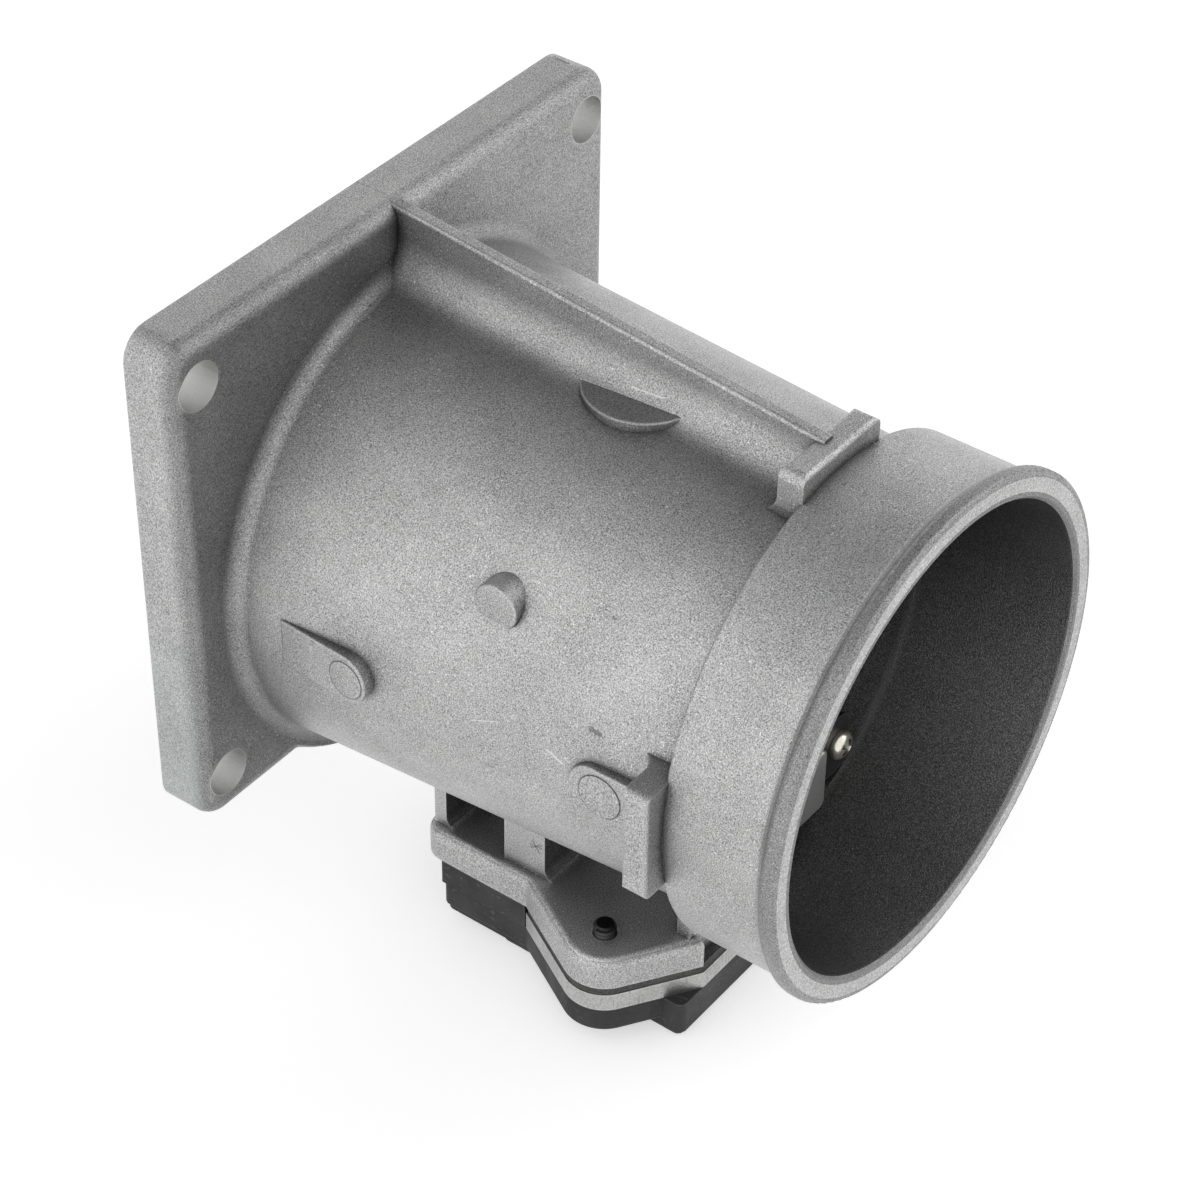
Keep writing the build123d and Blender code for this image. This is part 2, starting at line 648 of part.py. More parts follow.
# The casting in one piece
with BuildPart() as sensor_body:
    add(barrel.part)
    add(flange.part)
    add(web.part)
    add(TOP_BAR)
    add(SIDE_BAR, rotation=(0, 90, 0))
    add(SIDE_BAR, rotation=(0, -90, 0))
    add(top_pad.part)
    add(SIDE_PADS)
    add(platform.part)
    add(RIBS)
    add(front_rib.part)
    add(well_block.part)
    # Bore: chamfered mouth, throat and rounded inlet
    with BuildSketch(Plane.YZ):
        with BuildLine():
            Polyline(
                (from_mouth(-CUT_SLACK), 0),
                (from_mouth(-CUT_SLACK), MOUTH_R + MOUTH_CHAMFER + CUT_SLACK),
                (from_mouth(MOUTH_CHAMFER), MOUTH_R),
                (from_mouth(THROAT_FROM_MOUTH), THROAT_R),
                (-FLANGE_THICKNESS, INLET_R),
                (-INLET_EDGE_R, INLET_R),
            )
            CenterArc((-INLET_EDGE_R, INLET_R + INLET_EDGE_R), INLET_EDGE_R, 270, 90)
            Polyline(
                (0, INLET_R + INLET_EDGE_R),
                (CUT_SLACK, INLET_R + INLET_EDGE_R),
                (CUT_SLACK, 0),
                (from_mouth(-CUT_SLACK), 0),
            )
        make_face()
    revolve(axis=Axis.Y, mode=Mode.SUBTRACT)
    add(tower.part)
    # Bolt holes
    with BuildSketch(Plane.XZ):
        with Locations((0, FLANGE_RISE)):
            with GridLocations(BOLT_SPACING_X, BOLT_SPACING_Z, 2, 2):
                Circle(BOLT_HOLE_R)
    extrude(amount=FLANGE_THICKNESS, mode=Mode.SUBTRACT)
    # Bypass passage with its countersunk inlet
    with BuildSketch(across(TOWER_REAR_FROM_MOUTH)):
        with Locations((0, -PASSAGE_DROP)):
            Circle(PASSAGE_R)
    extrude(amount=TOWER_REAR_FROM_MOUTH - HEAD_FROM_MOUTH, mode=Mode.SUBTRACT)
    with BuildSketch(across(TOWER_REAR_FROM_MOUTH)):
        with Locations((0, -PASSAGE_DROP)):
            Circle(PASSAGE_R + PASSAGE_LEAD_IN)
    extrude(amount=PASSAGE_LEAD_IN, taper=45, mode=Mode.SUBTRACT)
    # Side outlets of the passage
    with BuildSketch(Plane.YZ):
        with Locations((from_mouth(OUTLET_FROM_MOUTH), -PASSAGE_DROP)):
            Rectangle(OUTLET_LENGTH, OUTLET_HEIGHT)
    extrude(amount=TOWER_HALF_WIDTH, both=True, mode=Mode.SUBTRACT)
    # Seat of the plug and holes for the plate's screws
    with BuildSketch(across(HEAD_FROM_MOUTH)):
        add(plug_outline(PLUG_FLANGE_WIDTH + PLUG_CLEARANCE))
    extrude(amount=-PLUG_FLANGE_THICKNESS, mode=Mode.SUBTRACT)
    with BuildSketch(across(HEAD_FROM_MOUTH)):
        with Locations(PLATE_SCREWS):
            Circle(PLATE_SCREW_R + SCREW_CLEARANCE)
    extrude(amount=-PLATE_SCREW_LENGTH, mode=Mode.SUBTRACT)
    # Stepped well of the probe
    with BuildSketch(Plane.XY.offset(PLATFORM_BOTTOM)):
        with Locations((0, PROBE_Y)):
            Circle(WELL_R)
    extrude(
        amount=PROBE_CLEARANCE - PROBE_SHOULDER_DROP - PLATFORM_BOTTOM,
        mode=Mode.SUBTRACT,
    )
    with BuildSketch(Plane.XY.offset(-PROBE_SHOULDER_DROP)):
        with Locations((0, PROBE_Y)):
            Rectangle(
                PROBE_TIP_WIDTH + 2 * PROBE_CLEARANCE,
                PROBE_TIP_DEPTH + 2 * PROBE_CLEARANCE,
            )
    extrude(amount=PROBE_SHOULDER_DROP - PASSAGE_DROP, mode=Mode.SUBTRACT)
    # Screw holes of the module, the rear one blind in the block
    with BuildSketch(Plane.XY.offset(PLATFORM_BOTTOM)):
        with Locations(MODULE_SCREWS):
            Circle(MODULE_SCREW_R + SCREW_CLEARANCE)
    extrude(amount=SCREW_TIP + SCREW_CLEARANCE - PLATFORM_BOTTOM, mode=Mode.SUBTRACT)

sensor_body.part.label = "sensor_body"
export_step(sensor_body.part, "parts/sensor_body.step")


# Plug: square face, flange behind the plate and round spigot in the passage
with BuildPart() as bypass_end_plug:
    with BuildSketch(across(HEAD_FROM_MOUTH)):
        add(plug_outline(0))
    extrude(amount=PLUG_PROUD)
    fillet(bypass_end_plug.faces().sort_by(Axis.Y)[0].edges(), radius=PLUG_EDGE_R)
    with BuildSketch(across(HEAD_FROM_MOUTH)):
        add(plug_outline(PLUG_FLANGE_WIDTH))
    extrude(amount=-PLUG_FLANGE_THICKNESS)
    with BuildSketch(across(HEAD_FROM_MOUTH + PLUG_FLANGE_THICKNESS)):
        with Locations((0, -PASSAGE_DROP)):
            Circle(PASSAGE_R - PLUG_CLEARANCE)
    extrude(amount=-PLUG_SPIGOT_LENGTH)

bypass_end_plug.part.label = "bypass_end_plug"
export_step(bypass_end_plug.part, "parts/bypass_end_plug.step")


# Punched plate: two ears and a frame round the plug
with BuildPart() as bypass_retaining_plate:
    with BuildSketch(across(HEAD_FROM_MOUTH)):
        with Locations((0, -PASSAGE_DROP)):
            RectangleRounded(2 * HEAD_HALF_WIDTH, 2 * HEAD_HALF_HEIGHT, HEAD_CORNER_R)
        add(plug_outline(PLATE_FRAME_WIDTH))
        add(plug_outline(PLUG_CLEARANCE), mode=Mode.SUBTRACT)
        with Locations(PLATE_SCREWS):
            Circle(PLATE_SCREW_R + SCREW_CLEARANCE, mode=Mode.SUBTRACT)
    extrude(amount=PLATE_THICKNESS)

bypass_retaining_plate.part.label = "bypass_retaining_plate"
export_step(bypass_retaining_plate.part, "parts/bypass_retaining_plate.step")


# Two pan-head screws in the ears of the plate
with BuildPart() as retaining_plate_screws:
    with BuildSketch(across(PLATE_FROM_MOUTH)):
        with Locations(PLATE_SCREWS):
            Circle(PLATE_SCREW_HEAD_R)
    extrude(amount=PLATE_SCREW_HEAD_HEIGHT)
    fillet(
        retaining_plate_screws.faces().group_by(Axis.Y)[0].edges(),
        radius=PLATE_SCREW_DOME_R,
    )
    with BuildSketch(across(PLATE_FROM_MOUTH)):
        with Locations(PLATE_SCREWS):
            Circle(PLATE_SCREW_R)
    extrude(amount=-PLATE_SCREW_LENGTH)

retaining_plate_screws.part.label = "retaining_plate_screws"
export_step(retaining_plate_screws.part, "parts/retaining_plate_screws.step")


def make_layer(outline, top, thickness):
    """Sheet of the module, holed for the probe and the screws."""
    with BuildPart() as layer:
        with BuildSketch(Plane.XY.offset(top)):
            add(outline)
            with Locations((0, PROBE_Y)):
                Circle(WELL_R, mode=Mode.SUBTRACT)
            with Locations(MODULE_SCREWS):
                Circle(MODULE_SCREW_R + SCREW_CLEARANCE, mode=Mode.SUBTRACT)
        extrude(amount=-thickness)
    return layer.part


# Sheet gasket, cut a little smaller than the base plate
with BuildSketch() as gasket_outline:
    add(BASE_OUTLINE)
    offset(amount=-GASKET_INSET)

module_gasket = make_layer(gasket_outline.sketch, PLATFORM_BOTTOM, GASKET_THICKNESS)
module_gasket.label = "module_gasket"
export_step(module_gasket, "parts/module_gasket.step")


# Aluminium base plate that cools the circuit
module_base_plate = make_layer(BASE_OUTLINE, GASKET_BOTTOM, BASE_THICKNESS)
module_base_plate.label = "module_base_plate"
export_step(module_base_plate, "parts/module_base_plate.step")


def cavity_outline(margin):
    """Room for the circuit, with a bay beside the rear screw, grown by a margin."""
    front = from_mouth(CAVITY_FRONT_FROM_MOUTH) - margin
    rear = from_mouth(CAVITY_REAR_FROM_MOUTH) + margin
    bay_rear = from_mouth(BAY_REAR_FROM_MOUTH) + margin
    bay_x = BAY_INNER_X - margin
    half_width = CAVITY_HALF_WIDTH + margin
    with BuildSketch() as outline:
        with BuildLine():
            Polyline(
                (-half_width, front),
                (half_width, front),
                (half_width, bay_rear),
                (bay_x, bay_rear),
                (bay_x, rear),
                (-half_width, rear),
                close=True,
            )
        make_face()
        fillet(outline.vertices(), radius=CAVITY_CORNER_R)
    return outline.sketch


# Moulded housing: lug flange, box, rim round the base plate and connector shroud
with BuildPart() as module_housing:
    box_length = HOUSING_REAR_FROM_MOUTH - MODULE_FRONT_FROM_MOUTH
    with BuildSketch(Plane.XY.offset(BASE_BOTTOM)):
        with Locations((0, from_mouth(MODULE_FRONT_FROM_MOUTH) + box_length / 2)):
            RectangleRounded(2 * HOUSING_BOX_HALF_WIDTH, box_length, MODULE_CORNER_R)
    extrude(amount=-HOUSING_DEPTH)
    box_floor = module_housing.faces().sort_by(Axis.Z)[0]
    chamfer(box_floor.edges().sort_by(Axis.Y)[-1], length=HOUSING_REAR_CHAMFER)
    with BuildSketch(Plane.XY.offset(BASE_BOTTOM)):
        add(HOUSING_OUTLINE)
    extrude(amount=-HOUSING_FLANGE)
    # Connector shroud on the +X side, with a latch bump on top
    with BuildSketch(Plane.YZ.offset(CAVITY_HALF_WIDTH)):
        with Locations((from_mouth(CONNECTOR_FROM_MOUTH), CONNECTOR_Z)):
            RectangleRounded(CONNECTOR_WIDTH, CONNECTOR_HEIGHT, CONNECTOR_CORNER_R)
    extrude(amount=CONNECTOR_REACH - CAVITY_HALF_WIDTH)
    latch_x = CONNECTOR_REACH - LATCH_FROM_RIM - LATCH_LENGTH / 2
    with BuildSketch(Plane.XY.offset(CONNECTOR_Z)):
        with Locations((latch_x, from_mouth(CONNECTOR_FROM_MOUTH))):
            Rectangle(LATCH_LENGTH, LATCH_WIDTH)
    extrude(amount=CONNECTOR_HEIGHT / 2 + LATCH_HEIGHT)
    with BuildSketch(Plane.YZ.offset(CONNECTOR_REACH)):
        with Locations((from_mouth(CONNECTOR_FROM_MOUTH), CONNECTOR_Z)):
            RectangleRounded(
                CONNECTOR_WIDTH - 2 * CONNECTOR_WALL,
                CONNECTOR_HEIGHT - 2 * CONNECTOR_WALL,
                CONNECTOR_CORNER_R - CONNECTOR_WALL,
            )
    extrude(amount=-SOCKET_DEPTH, mode=Mode.SUBTRACT)
    # Rim that stands up round the rear of the base plate
    rim_length = HOUSING_REAR_FROM_MOUTH - MODULE_WAIST_FROM_MOUTH
    with BuildSketch(Plane.XY.offset(BASE_BOTTOM)):
        with Locations((0, from_mouth(MODULE_WAIST_FROM_MOUTH) + rim_length / 2)):
            Rectangle(2 * MODULE_HALF_WIDTH, rim_length)
    extrude(amount=BASE_THICKNESS + GASKET_THICKNESS)
    with BuildSketch(Plane.XY.offset(BASE_BOTTOM)):
        add(BASE_OUTLINE)
        offset(amount=BASE_SEAT_CLEARANCE)
    extrude(amount=BASE_THICKNESS + GASKET_THICKNESS, mode=Mode.SUBTRACT)
    # Room for the circuit and the recess of the lid
    with BuildSketch(Plane.XY.offset(BASE_BOTTOM)):
        add(cavity_outline(0))
    extrude(amount=-HOUSING_DEPTH, mode=Mode.SUBTRACT)
    with BuildSketch(Plane.XY.offset(HOUSING_BOTTOM)):
        add(cavity_outline(LID_LEDGE))
    extrude(amount=LID_THICKNESS, mode=Mode.SUBTRACT)
    # Screw holes, and pockets for their heads
    with BuildSketch(Plane.XY.offset(BASE_BOTTOM)):
        with Locations(MODULE_SCREWS):
            Circle(MODULE_SCREW_R + SCREW_CLEARANCE)
    extrude(amount=-HOUSING_DEPTH, mode=Mode.SUBTRACT)
    with BuildSketch(Plane.XY.offset(SCREW_SEAT)):
        with Locations(MODULE_SCREWS):
            Circle(POCKET_R)
    extrude(amount=HOUSING_BOTTOM - SCREW_SEAT, mode=Mode.SUBTRACT)
    # Slots that carry the terminals through the side wall
    with BuildSketch(Plane.YZ.offset(CAVITY_HALF_WIDTH)):
        with Locations([(y, CONNECTOR_Z) for y in TERMINAL_YS]):
            Rectangle(
                TERMINAL_WIDTH + 2 * TERMINAL_CLEARANCE,
                TERMINAL_THICKNESS + 2 * TERMINAL_CLEARANCE,
            )
    extrude(amount=SOCKET_FLOOR_X - CAVITY_HALF_WIDTH, mode=Mode.SUBTRACT)

module_housing.part.label = "module_housing"
export_step(module_housing.part, "parts/module_housing.step")


# Lid glued into the underside of the housing
with BuildPart() as module_lid:
    with BuildSketch(Plane.XY.offset(LID_TOP)):
        add(cavity_outline(LID_LEDGE - LID_CLEARANCE))
    extrude(amount=-LID_THICKNESS)

module_lid.part.label = "module_lid"
export_step(module_lid.part, "parts/module_lid.step")


# Three screws from below
with BuildPart() as module_screws:
    with BuildSketch(Plane.XY.offset(SCREW_HEAD_TOP)):
        with Locations(MODULE_SCREWS):
            Circle(MODULE_SCREW_R)
    extrude(amount=SCREW_TIP - SCREW_HEAD_TOP)
    tips = module_screws.faces().group_by(Axis.Z)[-1]
    chamfer(tips.edges(), length=MODULE_SCREW_END_CHAMFER)
    with BuildSketch(Plane.XY.offset(SCREW_HEAD_TOP)):
        with Locations(MODULE_SCREWS):
            Circle(MODULE_SCREW_HEAD_R)
    extrude(amount=-MODULE_SCREW_HEAD_HEIGHT)
    heads = module_screws.faces().group_by(Axis.Z)[0]
    fillet(heads.edges(), radius=MODULE_SCREW_HEAD_EDGE_R)

module_screws.part.label = "module_screws"
export_step(module_screws.part, "parts/module_screws.step")


# Washers under the screw heads
with BuildPart() as screw_washers:
    with BuildSketch(Plane.XY.offset(SCREW_SEAT)):
        with Locations(MODULE_SCREWS):
            Circle(WASHER_R)
            Circle(MODULE_SCREW_R + SCREW_CLEARANCE, mode=Mode.SUBTRACT)
    extrude(amount=-WASHER_THICKNESS)

screw_washers.part.label = "screw_washers"
export_step(screw_washers.part, "parts/screw_washers.step")


# Circuit board bonded under the base plate
with BuildPart() as circuit_board:
    with BuildSketch(Plane.XY.offset(BASE_BOTTOM)):
        with Locations((0, BOARD_Y)):
            Rectangle(2 * BOARD_HALF_WIDTH, BOARD_LENGTH)
    extrude(amount=-BOARD_THICKNESS)

circuit_board.part.label = "circuit_board"
export_step(circuit_board.part, "parts/circuit_board.step")


def place_on_board(name, places, width, length, height):
    """Like components soldered to the underside of the board."""
    with BuildPart() as components:
        with BuildSketch(Plane.XY.offset(BOARD_BOTTOM)):
            with Locations(places):
                Rectangle(width, length)
        extrude(amount=-height)
    components.part.label = name
    export_step(components.part, f"parts/{name}.step")


SMALL_PART_YS = spread(BOARD_Y, SMALL_PART_PITCH, SMALL_PART_COUNT)

place_on_board(
    "power_transistor",
    [(TRANSISTOR_X, BOARD_Y)],
    TRANSISTOR_SIZE,
    TRANSISTOR_SIZE,
    TRANSISTOR_HEIGHT,
)
place_on_board(
    "control_chips",
    [(CHIP_X + i * CHIP_PITCH, BOARD_Y) for i in range(CHIP_COUNT)],
    CHIP_WIDTH,
    CHIP_LENGTH,
    CHIP_HEIGHT,
)
place_on_board(
    "board_capacitors",
    [(CAPACITOR_X, y) for y in SMALL_PART_YS],
    CAPACITOR_LENGTH,
    CAPACITOR_WIDTH,
    CAPACITOR_HEIGHT,
)
place_on_board(
    "trim_resistors",
    [(RESISTOR_X, y) for y in SMALL_PART_YS],
    RESISTOR_LENGTH,
    RESISTOR_WIDTH,
    RESISTOR_HEIGHT,
)


# Stamped terminals: a blade in the socket and a lead that turns towards the board
LEAD_END_Y = from_mouth(BOARD_REAR_FROM_MOUTH + LEAD_BOARD_GAP)
LEAD_XS = [
    CAVITY_HALF_WIDTH - LEAD_EDGE_GAP - LEAD_WIDTH / 2 - i * LEAD_PITCH
    for i in range(TERMINAL_COUNT)
]
BLADE_TIP_X = CONNECTOR_REACH - TERMINAL_RECESS

with BuildPart() as connector_terminals:
    with BuildSketch(Plane.XY.offset(CONNECTOR_Z - TERMINAL_THICKNESS / 2)):
        for lead_x, y in zip(LEAD_XS, TERMINAL_YS):
            inner = lead_x - LEAD_WIDTH / 2
            with Locations(((inner + BLADE_TIP_X) / 2, y)):
                Rectangle(BLADE_TIP_X - inner, TERMINAL_WIDTH)
            with Locations((lead_x, (y + LEAD_END_Y) / 2)):
                Rectangle(LEAD_WIDTH, y - LEAD_END_Y)
    extrude(amount=TERMINAL_THICKNESS)

connector_terminals.part.label = "connector_terminals"
export_step(connector_terminals.part, "parts/connector_terminals.step")


def make_ribbon(x, start, start_bend, start_z, end_bend, end, end_z):
    """Thin ribbon along the module that steps from one level up to another."""
    with BuildPart() as ribbon:
        with BuildSketch(Plane.YZ.offset(x - RIBBON_WIDTH / 2)):
            with BuildLine():
                Polyline(
                    (start, start_z),
                    (start_bend, start_z),
                    (end_bend, end_z),
                    (end, end_z),
                    (end, end_z - RIBBON_THICKNESS),
                    (end_bend, end_z - RIBBON_THICKNESS),
                    (start_bend, start_z - RIBBON_THICKNESS),
                    (start, start_z - RIBBON_THICKNESS),
                    close=True,
                )
            make_face()
        extrude(amount=RIBBON_WIDTH)
    return ribbon.part


BOARD_EDGE_Y = from_mouth(BOARD_REAR_FROM_MOUTH)

# Ribbons welded from the leads of the connector to the board
with BuildPart() as terminal_ribbons:
    for lead_x in LEAD_XS:
        add(
            make_ribbon(
                lead_x,
                LEAD_END_Y + BOND_LENGTH,
                LEAD_END_Y,
                CONNECTOR_Z + TERMINAL_THICKNESS / 2 + RIBBON_THICKNESS,
                BOARD_EDGE_Y,
                BOARD_EDGE_Y - BOND_LENGTH,
                BOARD_BOTTOM,
            )
        )

terminal_ribbons.part.label = "terminal_ribbons"
export_step(terminal_ribbons.part, "parts/terminal_ribbons.step")


# Posts of the probe: the hot pair on the mouth side, the cold pair upstream
HOT_ROW_Y = PROBE_Y - POST_ROW_SPACING / 2
COLD_ROW_Y = PROBE_Y + POST_ROW_SPACING / 2
HOT_POSTS = [(-HOT_POST_X, HOT_ROW_Y), (HOT_POST_X, HOT_ROW_Y)]
COLD_POSTS = [(-COLD_POST_X, COLD_ROW_Y), (COLD_POST_X, COLD_ROW_Y)]

# Moulded holder: flange under the base plate, stalk in the well and flat tip
with BuildPart() as probe_holder:
    with BuildSketch(Plane.XY.offset(BASE_BOTTOM)):
        with Locations((0, PROBE_Y)):
            Circle(PROBE_FLANGE_R)
    extrude(amount=-PROBE_FLANGE_THICKNESS)
    with BuildSketch(Plane.XY.offset(BASE_BOTTOM)):
        with Locations((0, PROBE_Y)):
            Circle(PROBE_R)
    extrude(amount=-PROBE_SHOULDER_DROP - BASE_BOTTOM)
    with BuildSketch(Plane.XY.offset(-PROBE_SHOULDER_DROP)):
        with Locations((0, PROBE_Y)):
            Rectangle(PROBE_TIP_WIDTH, PROBE_TIP_DEPTH)
    extrude(amount=PROBE_SHOULDER_DROP - PROBE_TIP_DROP)
    with BuildSketch(Plane.XZ.offset(-PROBE_Y)):
        with Locations((RING_MAJOR_R + RING_SECTION_R, RING_Z)):
            Rectangle(4 * RING_SECTION_R + 2 * RING_CLEARANCE, 2 * (RING_SECTION_R + RING_CLEARANCE))
    revolve(axis=Axis((0, PROBE_Y, 0), (0, 0, 1)), mode=Mode.SUBTRACT)
    with BuildSketch(Plane.XY.offset(PROBE_BOTTOM)):
        with Locations(HOT_POSTS + COLD_POSTS):
            Circle(POST_R + POST_CLEARANCE)
    extrude(amount=-PROBE_TIP_DROP - PROBE_BOTTOM, mode=Mode.SUBTRACT)

probe_holder.part.label = "probe_holder"
export_step(probe_holder.part, "parts/probe_holder.step")


# Seal ring in the groove of the holder
with BuildPart() as probe_seal_ring:
    with BuildSketch(Plane.XZ.offset(-PROBE_Y)):
        with Locations((RING_MAJOR_R, RING_Z)):
            Circle(RING_SECTION_R)
    revolve(axis=Axis((0, PROBE_Y, 0), (0, 0, 1)))

probe_seal_ring.part.label = "probe_seal_ring"
export_step(probe_seal_ring.part, "parts/probe_seal_ring.step")


# Fine posts that carry the two sensing elements
with BuildPart() as lead_posts:
    with BuildSketch(Plane.XY.offset(PROBE_BOTTOM)):
        with Locations(HOT_POSTS):
            Circle(POST_R)
    extrude(amount=-PASSAGE_DROP - HOT_WIRE_R - PROBE_BOTTOM)
    with BuildSketch(Plane.XY.offset(PROBE_BOTTOM)):
        with Locations(COLD_POSTS):
            Circle(POST_R)
    extrude(amount=-PASSAGE_DROP - COLD_WIRE_R - PROBE_BOTTOM)

lead_posts.part.label = "lead_posts"
export_step(lead_posts.part, "parts/lead_posts.step")


def make_element(name, row_y, post_x, radius):
    """Sensing element laid across the tops of a pair of posts."""
    half_length = post_x + WIRE_OVERHANG
    with BuildPart() as element:
        with BuildSketch(Plane.YZ.offset(-half_length)):
            with Locations((row_y, -PASSAGE_DROP)):
                Circle(radius)
        extrude(amount=2 * half_length)
    element.part.label = name
    export_step(element.part, f"parts/{name}.step")


make_element("hot_wire", HOT_ROW_Y, HOT_POST_X, HOT_WIRE_R)
make_element("cold_wire", COLD_ROW_Y, COLD_POST_X, COLD_WIRE_R)


# Ribbons from the feet of the posts to the board
with BuildPart() as probe_ribbons:
    for x, row_y in HOT_POSTS + COLD_POSTS:
        add(
            make_ribbon(
                x,
                row_y + RIBBON_WIDTH / 2,
                PROBE_Y - PROBE_FLANGE_R,
                PROBE_BOTTOM,
                BOARD_EDGE_Y,
                BOARD_EDGE_Y - BOND_LENGTH,
                BOARD_BOTTOM,
            )
        )

probe_ribbons.part.label = "probe_ribbons"
export_step(probe_ribbons.part, "parts/probe_ribbons.step")
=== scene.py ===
import math

import bmesh
import bpy
from mathutils import Matrix, Vector


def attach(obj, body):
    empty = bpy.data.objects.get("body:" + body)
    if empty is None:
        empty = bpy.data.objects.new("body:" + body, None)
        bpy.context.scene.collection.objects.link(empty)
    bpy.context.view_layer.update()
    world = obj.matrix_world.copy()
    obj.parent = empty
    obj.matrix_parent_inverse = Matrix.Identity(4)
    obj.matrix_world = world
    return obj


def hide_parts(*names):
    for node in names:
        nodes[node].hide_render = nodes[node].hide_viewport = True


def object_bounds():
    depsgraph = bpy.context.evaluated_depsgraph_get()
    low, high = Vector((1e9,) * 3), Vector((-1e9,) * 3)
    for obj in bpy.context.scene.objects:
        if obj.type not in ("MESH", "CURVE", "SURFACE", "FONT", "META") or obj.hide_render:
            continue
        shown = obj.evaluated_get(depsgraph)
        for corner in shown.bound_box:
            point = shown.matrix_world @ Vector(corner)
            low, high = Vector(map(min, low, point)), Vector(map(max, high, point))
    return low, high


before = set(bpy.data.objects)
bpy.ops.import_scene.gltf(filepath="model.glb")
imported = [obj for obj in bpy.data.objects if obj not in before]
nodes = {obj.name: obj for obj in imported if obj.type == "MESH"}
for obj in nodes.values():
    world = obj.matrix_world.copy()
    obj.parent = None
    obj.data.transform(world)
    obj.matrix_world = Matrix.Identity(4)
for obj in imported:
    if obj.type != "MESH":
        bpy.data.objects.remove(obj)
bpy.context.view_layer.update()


# Duct casting
# Flange, barrel, collar, web, ribs and the bypass tower are one aluminium pressure die
# casting. Its skin is sandy and satin as it left the die, brighter where edges have rubbed,
# and only the bolt holes are drilled and the mounting face milled.
def add_node(tree, kind, inputs=(), **settings):
    """A shader node with its settings and its plain input values."""
    node = tree.nodes.new(kind)
    for name, value in settings.items():
        setattr(node, name, value)
    for name, value in dict(inputs).items():
        node.inputs[name].default_value = value
    return node


def start_finish(name, colour, metallic, roughness):
    """A material with its principled shader set to plain values."""
    material = bpy.data.materials.new(name)
    material.use_nodes = True
    tree = material.node_tree
    shader = tree.nodes["Principled BSDF"]
    shader.inputs["Base Color"].default_value = (*colour, 1)
    shader.inputs["Metallic"].default_value = metallic
    shader.inputs["Roughness"].default_value = roughness
    return material, tree, shader


def start_group(name, inputs, outputs):
    """An empty node group with named sockets, and its two ends."""
    group = bpy.data.node_groups.new(name, "ShaderNodeTree")
    for socket, kind, value in inputs:
        made = group.interface.new_socket(socket, in_out="INPUT", socket_type=kind)
        made.default_value = value
    for socket, kind in outputs:
        group.interface.new_socket(socket, in_out="OUTPUT", socket_type=kind)
    return group, group.nodes.new("NodeGroupInput"), group.nodes.new("NodeGroupOutput")


def use_group(tree, group, **inputs):
    """A node group placed in a material with its own values."""
    node = tree.nodes.new("ShaderNodeGroup")
    node.node_tree = group
    for name, value in inputs.items():
        node.inputs[name.replace("_", " ")].default_value = value
    return node


def combine(tree, operation, *values):
    """A math node over outputs or numbers."""
    node = tree.nodes.new("ShaderNodeMath")
    node.operation = operation
    for socket, value in zip(node.inputs, values):
        if isinstance(value, (int, float)):
            socket.default_value = value
        else:
            tree.links.new(value, socket)
    return node.outputs[0]


def overlap(tree, mask, *others):
    """Where several masks are at once, as their product."""
    for other in others:
        mask = combine(tree, "MULTIPLY", mask, other)
    return mask


def remap(tree, value, low, high, to_low=0.0, to_high=1.0):
    """A value stretched from one range to another and held inside it."""
    node = add_node(
        tree,
        "ShaderNodeMapRange",
        {"From Min": low, "From Max": high, "To Min": to_low, "To Max": to_high},
    )
    tree.links.new(value, node.inputs["Value"])
    return node.outputs[0]


def blend_colour(tree, mask, first, second, share=1.0):
    """Two colours mixed by a share of a mask."""
    node = add_node(tree, "ShaderNodeMix", data_type="RGBA")
    tree.links.new(combine(tree, "MULTIPLY", mask, share), node.inputs["Factor"])
    for socket, value in ((node.inputs[6], first), (node.inputs[7], second)):
        if isinstance(value, tuple):
            socket.default_value = (*value, 1)
        else:
            tree.links.new(value, socket)
    return node.outputs[2]


def shade(tree, mask, colour, change):
    """A colour made lighter or darker by a share of itself where a mask is, grain and all."""
    scaled = add_node(tree, "ShaderNodeVectorMath", operation="SCALE")
    tree.links.new(colour, scaled.inputs[0])
    factor = combine(tree, "ADD", 1.0, combine(tree, "MULTIPLY", mask, change))
    tree.links.new(factor, scaled.inputs["Scale"])
    return scaled.outputs[0]


def raise_grain(tree, shader, height, depth):
    """Small relief on the surface from a height mask."""
    bump = add_node(tree, "ShaderNodeBump", {"Strength": 1.0, "Distance": depth})
    tree.links.new(height, bump.inputs["Height"])
    tree.links.new(bump.outputs["Normal"], shader.inputs["Normal"])


# Fine and coarse variation of a surface
mottle, ins, outs = start_group(
    "mottle",
    [
        ("Colour", "NodeSocketColor", (0.5, 0.5, 0.5, 1)),
        ("Grains per Metre", "NodeSocketFloat", 2500.0),
        ("Grain Share", "NodeSocketFloat", 0.3),
        ("Clouds per Metre", "NodeSocketFloat", 60.0),
        ("Cloud Share", "NodeSocketFloat", 0.1),
    ],
    [("Colour", "NodeSocketColor"), ("Grain", "NodeSocketFloat"), ("Clouds", "NodeSocketFloat")],
)
place = add_node(mottle, "ShaderNodeTexCoord")
grain = add_node(mottle, "ShaderNodeTexNoise", {"Detail": 2.0, "Roughness": 0.6})
clouds = add_node(mottle, "ShaderNodeTexNoise", {"Detail": 4.0, "Roughness": 0.6})
mottle.links.new(place.outputs["Object"], grain.inputs["Vector"])
mottle.links.new(place.outputs["Object"], clouds.inputs["Vector"])
mottle.links.new(ins.outputs["Grains per Metre"], grain.inputs["Scale"])
mottle.links.new(ins.outputs["Clouds per Metre"], clouds.inputs["Scale"])
fine = remap(mottle, grain.outputs["Fac"], 0.25, 0.75, -1.0, 1.0)
